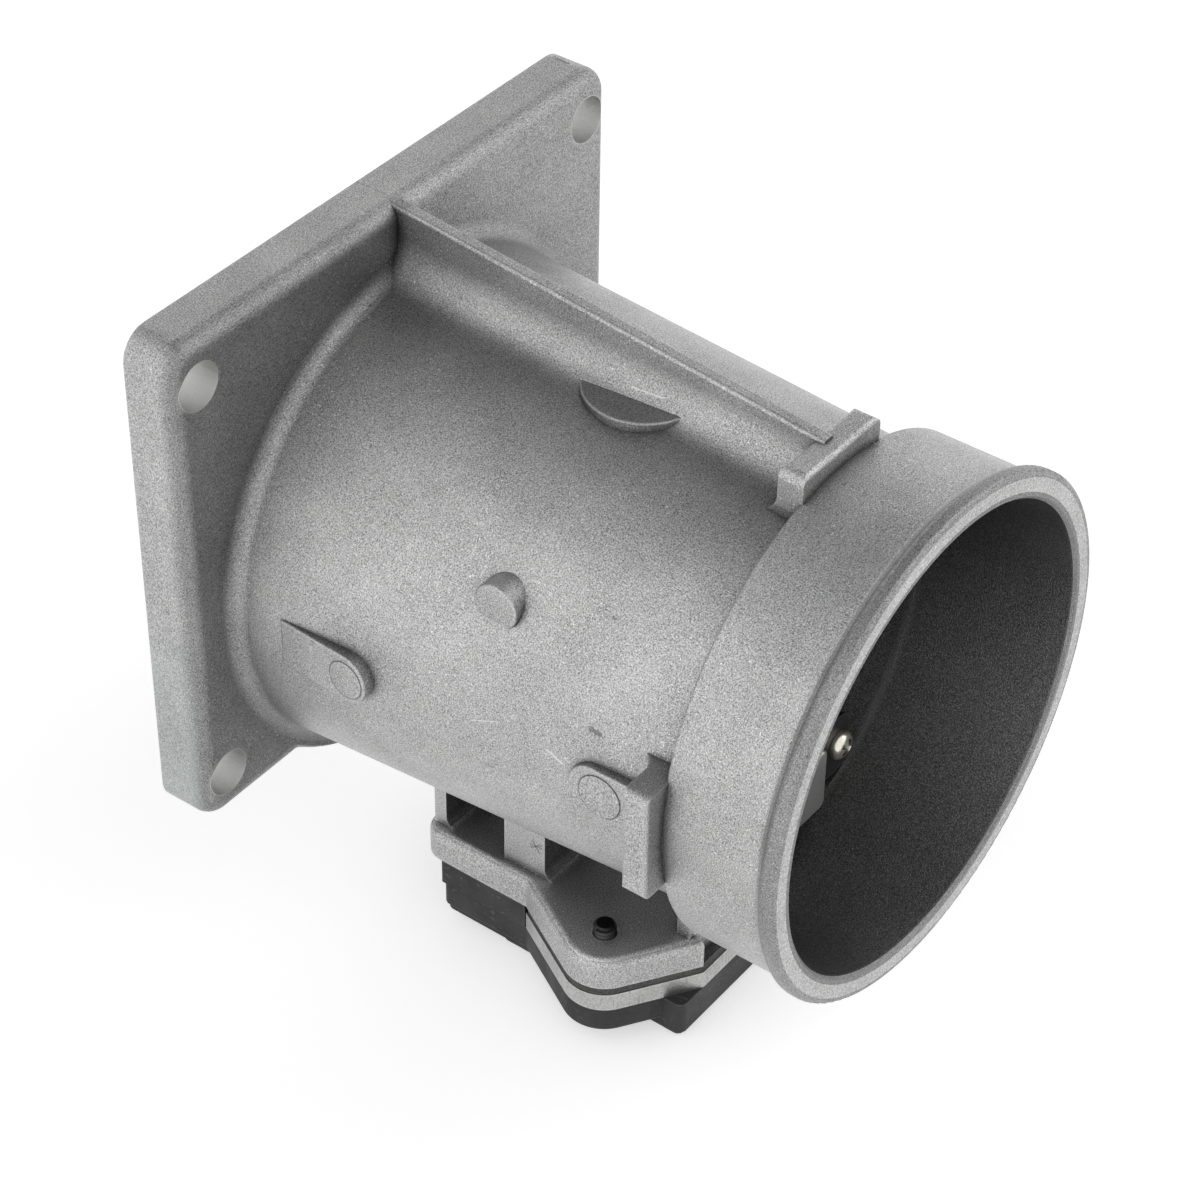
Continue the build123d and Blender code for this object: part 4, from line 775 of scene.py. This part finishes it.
SMALL_HEAD_R = 2.75 * MM
SMALL_HEAD_HEIGHT = 2.0 * MM
SMALL_HEAD_DOME_R = 1.6 * MM
SMALL_HEAD_CHAMFER = 0.1 * MM
SMALL_FLAT_R = 0.6 * MM
SMALL_FLAT_DROP = 0.02 * MM
SMALL_SHANK_R = 1.5 * MM
SMALL_SHANK_LENGTH = 7.0 * MM
SMALL_TIP_CHAMFER = 0.4 * MM
SMALL_CROWN = 0.25 * MM
SMALL_SEAT_Y = -87.0 * MM
SMALL_SCREWS_X = 15.3 * MM
SMALL_SCREWS_Z = -26.2 * MM
SMALL_TURNS = ((-1, 20), (1, 50))
HEAD_STEPS = 64
plated_steel, *_ = make_finish(
    "plated_steel",
    colour=(0.82, 0.79, 0.68),
    metallic=1.0,
    roughness=(0.3, 0.2),
    grains=(2600.0, 0.1),
    clouds=(300.0, 0.15),
    relief=0.015 * MM,
    edge=((0.85, 0.83, 0.76), 0.6),
    grime_and_shade=((0.04, 0.035, 0.03), 1.0),
)
dome_z = SMALL_HEAD_HEIGHT - SMALL_CROWN - SMALL_HEAD_DOME_R
profile = [(0, -SMALL_SHANK_LENGTH), (SMALL_SHANK_R - SMALL_TIP_CHAMFER, -SMALL_SHANK_LENGTH)]
profile += [(SMALL_SHANK_R, SMALL_TIP_CHAMFER - SMALL_SHANK_LENGTH), (SMALL_SHANK_R, 0)]
profile += [(SMALL_HEAD_R - SMALL_HEAD_CHAMFER, 0), (SMALL_HEAD_R, SMALL_HEAD_CHAMFER)]
profile += rounded(
    SMALL_HEAD_R - SMALL_HEAD_DOME_R, dome_z, SMALL_HEAD_DOME_R, start=0, end=80, steps=10
)
profile += [(SMALL_FLAT_R, SMALL_HEAD_HEIGHT - SMALL_FLAT_DROP), (0, SMALL_HEAD_HEIGHT)]
mesh = bmesh.new()
lathe(mesh, profile, HEAD_STEPS)
mesh = sink_recess(mesh, span=4.0 * MM, width=1.0 * MM, depth=1.5 * MM, top=SMALL_HEAD_HEIGHT)
placements = [
    aim(Vector((side * SMALL_SCREWS_X, SMALL_SEAT_Y, SMALL_SCREWS_Z)), (0, -1, 0))
    @ Matrix.Rotation(math.radians(turn), 4, "Z")
    for side, turn in SMALL_TURNS
]
small_screws = finish_piece(
    "plate_pan_screws", repeat(mesh, placements), plated_steel, 30.0
)
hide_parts("retaining_plate_screws")


# Gasket
# A die-cut sheet of grey fibre gasket, a little smaller than the plate it seals, so its
# edge shows only as a dull recessed line.
gasket, *_ = make_finish(
    "gasket",
    colour=(0.09, 0.09, 0.088),
    metallic=0.0,
    roughness=(0.95, 0.85),
    grains=(2200.0, 0.5),
    clouds=(300.0, 0.2),
    relief=0.06 * MM,
    edge=((0.2, 0.2, 0.2), 0.4),
    grime_and_shade=((0.015, 0.015, 0.015), 0.9),
)
dress("module_gasket", gasket, "gasket")


# Base plate
# Aluminium plate that draws the heat out of the circuit, blanked from sheet and tumbled,
# so its faces are satin and its sheared edges carry fine upright streaks.
base_aluminium, tree, shader, colour = make_finish(
    "base_aluminium",
    colour=(0.46, 0.46, 0.455),
    metallic=1.0,
    roughness=(0.44, 0.36),
    grains=(3200.0, 0.3),
    clouds=(120.0, 0.12),
    relief=0.05 * MM,
    edge=((0.72, 0.72, 0.71), 0.5),
    grime_and_shade=((0.12, 0.12, 0.12), 0.8),
)
STREAK_COLOUR = (0.2, 0.2, 0.2)
streaks = use_group(
    tree,
    marks,
    Per_Metre=(2200.0, 2200.0, 180.0),
    Threshold=0.6,
    Patches_per_Metre=150.0,
    Patch_Threshold=0.4,
)
colour = blend_colour(tree, streaks.outputs["Mask"], colour, STREAK_COLOUR, 0.5)
tree.links.new(colour, shader.inputs["Base Color"])
dress("module_base_plate", base_aluminium, "base_aluminium")


# Housing and lid
# Black glass-filled nylon mouldings with a dull, faintly grained skin. The mould's parting
# line runs round the flange of the housing, and a bead of sealant closes the lid.
PARTING_Z = -61.4 * MM
PARTING_HALF = 0.09 * MM
PARTING_COLOUR = (0.006, 0.006, 0.006)
black_plastic, tree, shader, colour = make_finish(
    "black_plastic",
    colour=(0.018, 0.018, 0.019),
    metallic=0.0,
    roughness=(0.66, 0.5),
    grains=(1800.0, 0.3),
    clouds=(110.0, 0.25),
    relief=0.05 * MM,
    edge=((0.09, 0.09, 0.09), 0.6),
    grime_and_shade=((0.008, 0.008, 0.008), 0.9),
)
place = add_node(tree, "ShaderNodeTexCoord")
axes = add_node(tree, "ShaderNodeSeparateXYZ")
tree.links.new(place.outputs["Object"], axes.inputs[0])
from_parting = combine(
    tree, "ABSOLUTE", combine(tree, "SUBTRACT", axes.outputs["Z"], PARTING_Z)
)
parting = combine(tree, "LESS_THAN", from_parting, PARTING_HALF)
colour = blend_colour(tree, parting, colour, PARTING_COLOUR, 0.9)
FIBRE_COLOUR = (0.11, 0.11, 0.11)
fibres = use_group(
    tree,
    marks,
    Per_Metre=(2600.0, 600.0, 1400.0),
    Threshold=0.64,
    Patches_per_Metre=80.0,
    Patch_Threshold=0.45,
)
colour = blend_colour(tree, fibres.outputs["Mask"], colour, FIBRE_COLOUR, 0.5)
tree.links.new(colour, shader.inputs["Base Color"])
dress("module_housing", black_plastic, "black_plastic")
dress("module_lid", black_plastic, "black_plastic")


# Sealant bead
# Black silicone squeezed into the gap round the lid, proud of it and slightly uneven. It
# cures in place and closes the housing for good.
BEAD_R = 0.45 * MM
BEAD_SUNK = 0.2 * MM
BEAD_WOBBLE = 0.12 * MM
BEAD_SWELL = 0.12
BEAD_RIPPLES = (1.9, 0.37)
BEAD_STEP = 1.2 * MM
LID_WELD = 1e-6
seal_rubber, *_ = make_finish(
    "seal_rubber",
    colour=(0.014, 0.014, 0.014),
    metallic=0.0,
    roughness=(0.5, 0.35),
    grains=(1500.0, 0.2),
    clouds=(260.0, 0.3),
    relief=0.02 * MM,
    edge=((0.04, 0.04, 0.04), 0.4),
    grime_and_shade=((0.006, 0.006, 0.006), 0.8),
)
rim = bmesh.new()
rim.from_mesh(nodes["module_lid"].data)
bmesh.ops.remove_doubles(rim, verts=rim.verts, dist=LID_WELD)
floor_z = min(vert.co.z for vert in rim.verts)
loop_edges = [
    edge
    for edge in rim.edges
    if all(abs(vert.co.z - floor_z) < LID_WELD for vert in edge.verts)
    and any(abs(face.normal.z) < 0.5 for face in edge.link_faces)
]
following = {}
for edge in loop_edges:
    for vert, other in (edge.verts, reversed(edge.verts)):
        following.setdefault(vert, []).append(other)
first = loop_edges[0].verts[0]
path, previous, current = [first.co.copy()], first, following[first][0]
while current is not first:
    path.append(current.co.copy())
    previous, current = current, next(v for v in following[current] if v is not previous)
rim.free()
bead_line = bpy.data.curves.new("lid_sealant", "CURVE")
bead_line.dimensions = "3D"
bead_line.bevel_depth = BEAD_R
bead_line.bevel_resolution = 3
spline = bead_line.splines.new("POLY")
spline.use_cyclic_u = True
steps = []
for start, end in zip(path, path[1:] + path[:1]):
    count = max(1, round((end - start).length / BEAD_STEP))
    steps += [start.lerp(end, i / count) for i in range(count)]
spline.points.add(len(steps) - 1)
for i, (point, co) in enumerate(zip(spline.points, steps)):
    wobble = math.sin(i * BEAD_RIPPLES[0]) * math.sin(i * BEAD_RIPPLES[1])
    point.co = (co.x, co.y, floor_z + BEAD_SUNK + BEAD_WOBBLE * wobble, 1)
    point.radius = 1 + BEAD_SWELL * wobble
bead = bpy.data.objects.new("lid_sealant", bead_line)
bpy.context.scene.collection.objects.link(bead)
bead_line.materials.append(seal_rubber)
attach(bead, "root")


# Module screws
# Three black M4 machine screws that come up from below through the housing, the base
# plate and the gasket. The ends of the front two stand out of the platform and show
# their rolled thread, and the heads have a cross recess.
LONG_SHANK_R = 2.0 * MM
THREAD_ROOT_R = 1.7 * MM
THREAD_PITCH = 0.7 * MM
THREAD_STEPS = 36
THREAD_LENGTH = 11.0 * MM
THREAD_RUNOUT = 0.3 * MM
RIDGE_FOOT_R = THREAD_ROOT_R - 0.05 * MM
RIDGE_CREST_R = LONG_SHANK_R - 0.03 * MM
RIDGE_FOOT_HALF = 0.46 * THREAD_PITCH
RIDGE_CREST_HALF = 0.07 * THREAD_PITCH
LONG_HEAD_R = 3.4 * MM
LONG_HEAD_HEIGHT = 2.6 * MM
LONG_HEAD_EDGE_R = 0.9 * MM
LONG_HEAD_CHAMFER = 0.15 * MM
LONG_TIP_CHAMFER = 0.25 * MM
LONG_SEAT_Z = -64.0 * MM
LONG_SHANK_LENGTH = 16.2 * MM
LONG_PLACES = ((-23.8, -68.8, 12), (23.8, -68.8, 57), (0.0, -39.4, 33))
black_steel, *_ = make_finish(
    "black_steel",
    colour=(0.022, 0.022, 0.022),
    metallic=1.0,
    roughness=(0.45, 0.32),
    grains=(2800.0, 0.3),
    clouds=(220.0, 0.25),
    relief=0.02 * MM,
    edge=((0.15, 0.15, 0.15), 0.4),
    grime_and_shade=((0.01, 0.01, 0.01), 0.9),
)
plain_z = THREAD_LENGTH - LONG_SHANK_LENGTH
profile = [(0, -LONG_SHANK_LENGTH), (THREAD_ROOT_R - LONG_TIP_CHAMFER, -LONG_SHANK_LENGTH)]
profile += [(THREAD_ROOT_R, LONG_TIP_CHAMFER - LONG_SHANK_LENGTH), (THREAD_ROOT_R, plain_z)]
profile += [(LONG_SHANK_R, plain_z + THREAD_RUNOUT), (LONG_SHANK_R, 0)]
profile += [(LONG_HEAD_R - LONG_HEAD_CHAMFER, 0), (LONG_HEAD_R, LONG_HEAD_CHAMFER)]
dome_z = LONG_HEAD_HEIGHT - LONG_HEAD_EDGE_R
profile += rounded(
    LONG_HEAD_R - LONG_HEAD_EDGE_R, dome_z, LONG_HEAD_EDGE_R, start=0, end=90, steps=8
)
mesh = bmesh.new()
lathe(mesh, profile + [(0, LONG_HEAD_HEIGHT)], HEAD_STEPS)
mesh = sink_recess(mesh, span=4.4 * MM, width=0.95 * MM, depth=1.7 * MM, top=LONG_HEAD_HEIGHT)
turns = int((THREAD_LENGTH - LONG_TIP_CHAMFER - THREAD_PITCH) / THREAD_PITCH)
ridge_z = LONG_TIP_CHAMFER + 0.5 * THREAD_PITCH - LONG_SHANK_LENGTH
section = [
    mesh.verts.new((radius, 0, ridge_z + height))
    for radius, height in (
        (RIDGE_FOOT_R, -RIDGE_FOOT_HALF),
        (RIDGE_CREST_R, -RIDGE_CREST_HALF),
        (RIDGE_CREST_R, RIDGE_CREST_HALF),
        (RIDGE_FOOT_R, RIDGE_FOOT_HALF),
    )
]
lines = [mesh.edges.new(pair) for pair in zip(section, section[1:] + section[:1])]
bmesh.ops.spin(
    mesh,
    geom=section + lines,
    cent=(0, 0, 0),
    axis=(0, 0, 1),
    dvec=(0, 0, THREAD_PITCH / THREAD_STEPS),
    angle=math.tau * turns,
    steps=THREAD_STEPS * turns,
)
bmesh.ops.holes_fill(mesh, edges=[edge for edge in mesh.edges if edge.is_boundary], sides=4)
bmesh.ops.recalc_face_normals(mesh, faces=mesh.faces)
placements = [
    aim(Vector((x * MM, y * MM, LONG_SEAT_Z)), (0, 0, -1))
    @ Matrix.Rotation(math.radians(turn), 4, "Z")
    for x, y, turn in LONG_PLACES
]
long_screws = finish_piece(
    "module_machine_screws", repeat(mesh, placements), black_steel, 30.0
)
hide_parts("module_screws")


# Screw washers
# Flat spring washers under the heads of the module screws, punched from steel sheet and
# blackened like the screws.
dress("screw_washers", black_steel, "black_steel")


# Sensing probe
# A moulded stalk in a rubber ring. Four welded posts carry the heated element and the air
# temperature element, both glass-coated windings on ceramic, across the bypass passage.
ceramic, *_ = make_finish(
    "ceramic",
    colour=(0.72, 0.7, 0.65),
    metallic=0.0,
    roughness=(0.35, 0.2),
    grains=(4000.0, 0.06),
    clouds=(900.0, 0.1),
    relief=0.01 * MM,
    edge=((0.85, 0.84, 0.8), 0.3),
    grime_and_shade=((0.35, 0.32, 0.28), 0.6),
)
tinned_brass, *_ = make_finish(
    "tinned_brass",
    colour=(0.58, 0.56, 0.5),
    metallic=1.0,
    roughness=(0.36, 0.22),
    grains=(2600.0, 0.1),
    clouds=(400.0, 0.15),
    relief=0.01 * MM,
    edge=((0.62, 0.48, 0.28), 0.5),
    grime_and_shade=((0.12, 0.1, 0.07), 0.8),
)
for name, material, slot in (
    ("probe_holder", black_plastic, "black_plastic"),
    ("probe_seal_ring", seal_rubber, "seal_rubber"),
    ("lead_posts", plated_steel, "plated_steel"),
    ("hot_wire", ceramic, "ceramic"),
    ("cold_wire", ceramic, "ceramic"),
    ("connector_terminals", tinned_brass, "tinned_brass"),
):
    dress(name, material, slot)


# Bond ribbons
# Bright aluminium ribbons, rolled flat and welded to posts, terminals and board. They
# carry the current between pieces that must not pull at each other.
ribbon, *_ = make_finish(
    "ribbon",
    colour=(0.72, 0.72, 0.7),
    metallic=1.0,
    roughness=(0.4, 0.28),
    grains=(3000.0, 0.12),
    clouds=(600.0, 0.15),
    relief=0.01 * MM,
    edge=((0.85, 0.85, 0.84), 0.5),
    grime_and_shade=((0.2, 0.2, 0.2), 0.7),
)
dress("probe_ribbons", ribbon, "ribbon")
dress("terminal_ribbons", ribbon, "ribbon")


# Circuit
# A white ceramic board with dark printed conductors, and moulded parts soldered to it. The
# board is glued to the base plate, which takes its heat.
TRACK_COLOUR = (0.25, 0.22, 0.17)
PART_EDGE_LIGHTER = 2
PART_GRIME_AND_SHADE_DARKER = 0.4
board, tree, shader, colour = make_finish(
    "board",
    colour=(0.7, 0.69, 0.64),
    metallic=0.0,
    roughness=(0.5, 0.38),
    grains=(3000.0, 0.06),
    clouds=(200.0, 0.08),
    relief=0.01 * MM,
    edge=((0.8, 0.79, 0.75), 0.4),
    grime_and_shade=((0.3, 0.28, 0.24), 0.6),
)
place = add_node(tree, "ShaderNodeTexCoord")
tracks = add_node(
    tree,
    "ShaderNodeTexBrick",
    {"Scale": 260.0, "Mortar Size": 0.06, "Color1": (0, 0, 0, 1), "Color2": (0, 0, 0, 1)},
)
tracks.inputs["Mortar"].default_value = (1, 1, 1, 1)
tree.links.new(place.outputs["Object"], tracks.inputs["Vector"])
colour = blend_colour(tree, tracks.outputs["Fac"], colour, TRACK_COLOUR, 0.8)
tree.links.new(colour, shader.inputs["Base Color"])
dress("circuit_board", board, "board")
for slot, base, names in (
    ("chip", (0.022, 0.022, 0.023), ("power_transistor", "control_chips")),
    ("capacitor", (0.36, 0.24, 0.12), ("board_capacitors",)),
    ("resistor", (0.03, 0.05, 0.045), ("trim_resistors",)),
):
    moulded, *_ = make_finish(
        slot,
        colour=base,
        metallic=0.0,
        roughness=(0.5, 0.36),
        grains=(2600.0, 0.2),
        clouds=(400.0, 0.15),
        relief=0.02 * MM,
        edge=(tuple(min(1.0, PART_EDGE_LIGHTER * value) for value in base), 0.5),
        grime_and_shade=(tuple(PART_GRIME_AND_SHADE_DARKER * value for value in base), 0.7),
    )
    for name in names:
        dress(name, moulded, slot)


# Studio
# A pale floor, an even white surround with a darker ceiling, two large soft lamps and the
# camera.
FLOOR_HALF = 2.5
FLOOR_GLOW = 0.5
CEILING_AXIS = (0.2, 0.2, 0.959)
CEILING_START = 0.83
CEILING_FULL = 0.92
CEILING_GREY = 0.05
SURROUND_LIGHT = 0.8
LAMPS_AIM = Vector((0, -0.05, 0))


def seen_ray(tree):
    """One where a surface is seen directly, mirrored or through glass."""
    path = add_node(tree, "ShaderNodeLightPath")
    seen = combine(tree, "MAXIMUM", path.outputs["Is Camera Ray"], path.outputs["Is Glossy Ray"])
    return combine(tree, "MAXIMUM", seen, path.outputs["Is Transmission Ray"])


world = bpy.data.worlds.new("studio")
world.use_nodes = True
bpy.context.scene.world = world
tree = world.node_tree
surround = tree.nodes["Background"]
direction = add_node(tree, "ShaderNodeTexCoord")
overhead = add_node(tree, "ShaderNodeVectorMath", operation="DOT_PRODUCT")
overhead.inputs[1].default_value = CEILING_AXIS
tree.links.new(direction.outputs["Generated"], overhead.inputs[0])
ceiling = remap(tree, overhead.outputs["Value"], CEILING_START, CEILING_FULL)
tree.links.new(
    blend_colour(tree, ceiling, (1.0, 1.0, 1.0), (CEILING_GREY,) * 3), surround.inputs["Color"]
)
surround_level = remap(tree, seen_ray(tree), 0.0, 1.0, SURROUND_LIGHT, 1.0)
tree.links.new(surround_level, surround.inputs["Strength"])

mesh = bmesh.new()
bmesh.ops.create_grid(mesh, x_segments=1, y_segments=1, size=FLOOR_HALF)
bmesh.ops.translate(mesh, vec=(0, 0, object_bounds()[0].z), verts=mesh.verts)
floor_data = bpy.data.meshes.new("floor")
mesh.to_mesh(floor_data)
mesh.free()
floor = bpy.data.objects.new("floor", floor_data)
bpy.context.scene.collection.objects.link(floor)
floor_paper, tree, shader = start_finish("floor_paper", (0.85, 0.85, 0.85), 0.0, 0.9)
shader.inputs["Specular IOR Level"].default_value = 0.0
shader.inputs["Emission Color"].default_value = (1, 1, 1, 1)
tree.links.new(
    combine(tree, "MULTIPLY", seen_ray(tree), FLOOR_GLOW), shader.inputs["Emission Strength"]
)
floor_data.materials.append(floor_paper)

for name, spot, size, power in (
    ("lamp_right", (0.9, -0.9, 0.7), 1.2, 3.0),
    ("lamp_left", (-1.2, -0.1, 0.4), 1.2, 2.0),
):
    lamp_data = bpy.data.lights.new(name, "AREA")
    lamp_data.shape = "SQUARE"
    lamp_data.size = size
    lamp_data.energy = power
    lamp = bpy.data.objects.new(name, lamp_data)
    lamp.location = spot
    towards = LAMPS_AIM - Vector(spot)
    lamp.rotation_euler = towards.to_track_quat("-Z", "Y").to_euler()
    bpy.context.scene.collection.objects.link(lamp)

CAMERA_PLACE = Vector((-0.34233, -0.30090, 0.34647))
CAMERA_AZIMUTH = math.radians(-53.671)
CAMERA_ELEVATION = math.radians(39.578)
CAMERA_ROLL = math.radians(0.949)
SENSOR = 36.0
FOCAL_PIXELS = 3388.32
PHOTO_PIXELS = 1200.0
backward = Vector(
    (
        math.sin(CAMERA_AZIMUTH) * math.cos(CAMERA_ELEVATION),
        -math.cos(CAMERA_AZIMUTH) * math.cos(CAMERA_ELEVATION),
        math.sin(CAMERA_ELEVATION),
    )
)
level_right = Vector((math.cos(CAMERA_AZIMUTH), math.sin(CAMERA_AZIMUTH), 0))
level_up = backward.cross(level_right)
right = math.cos(CAMERA_ROLL) * level_right + math.sin(CAMERA_ROLL) * level_up
up = -math.sin(CAMERA_ROLL) * level_right + math.cos(CAMERA_ROLL) * level_up
camera_data = bpy.data.cameras.new("camera")
camera_data.sensor_width = SENSOR
camera_data.lens = FOCAL_PIXELS * SENSOR / PHOTO_PIXELS
camera_data.clip_start = 0.01
camera_data.clip_end = 20.0
camera = bpy.data.objects.new("camera", camera_data)
turn = Matrix((right, up, backward)).transposed().to_4x4()
camera.matrix_world = Matrix.Translation(CAMERA_PLACE) @ turn
bpy.context.scene.collection.objects.link(camera)
bpy.context.scene.camera = camera
bpy.context.scene.view_settings.view_transform = "Standard"
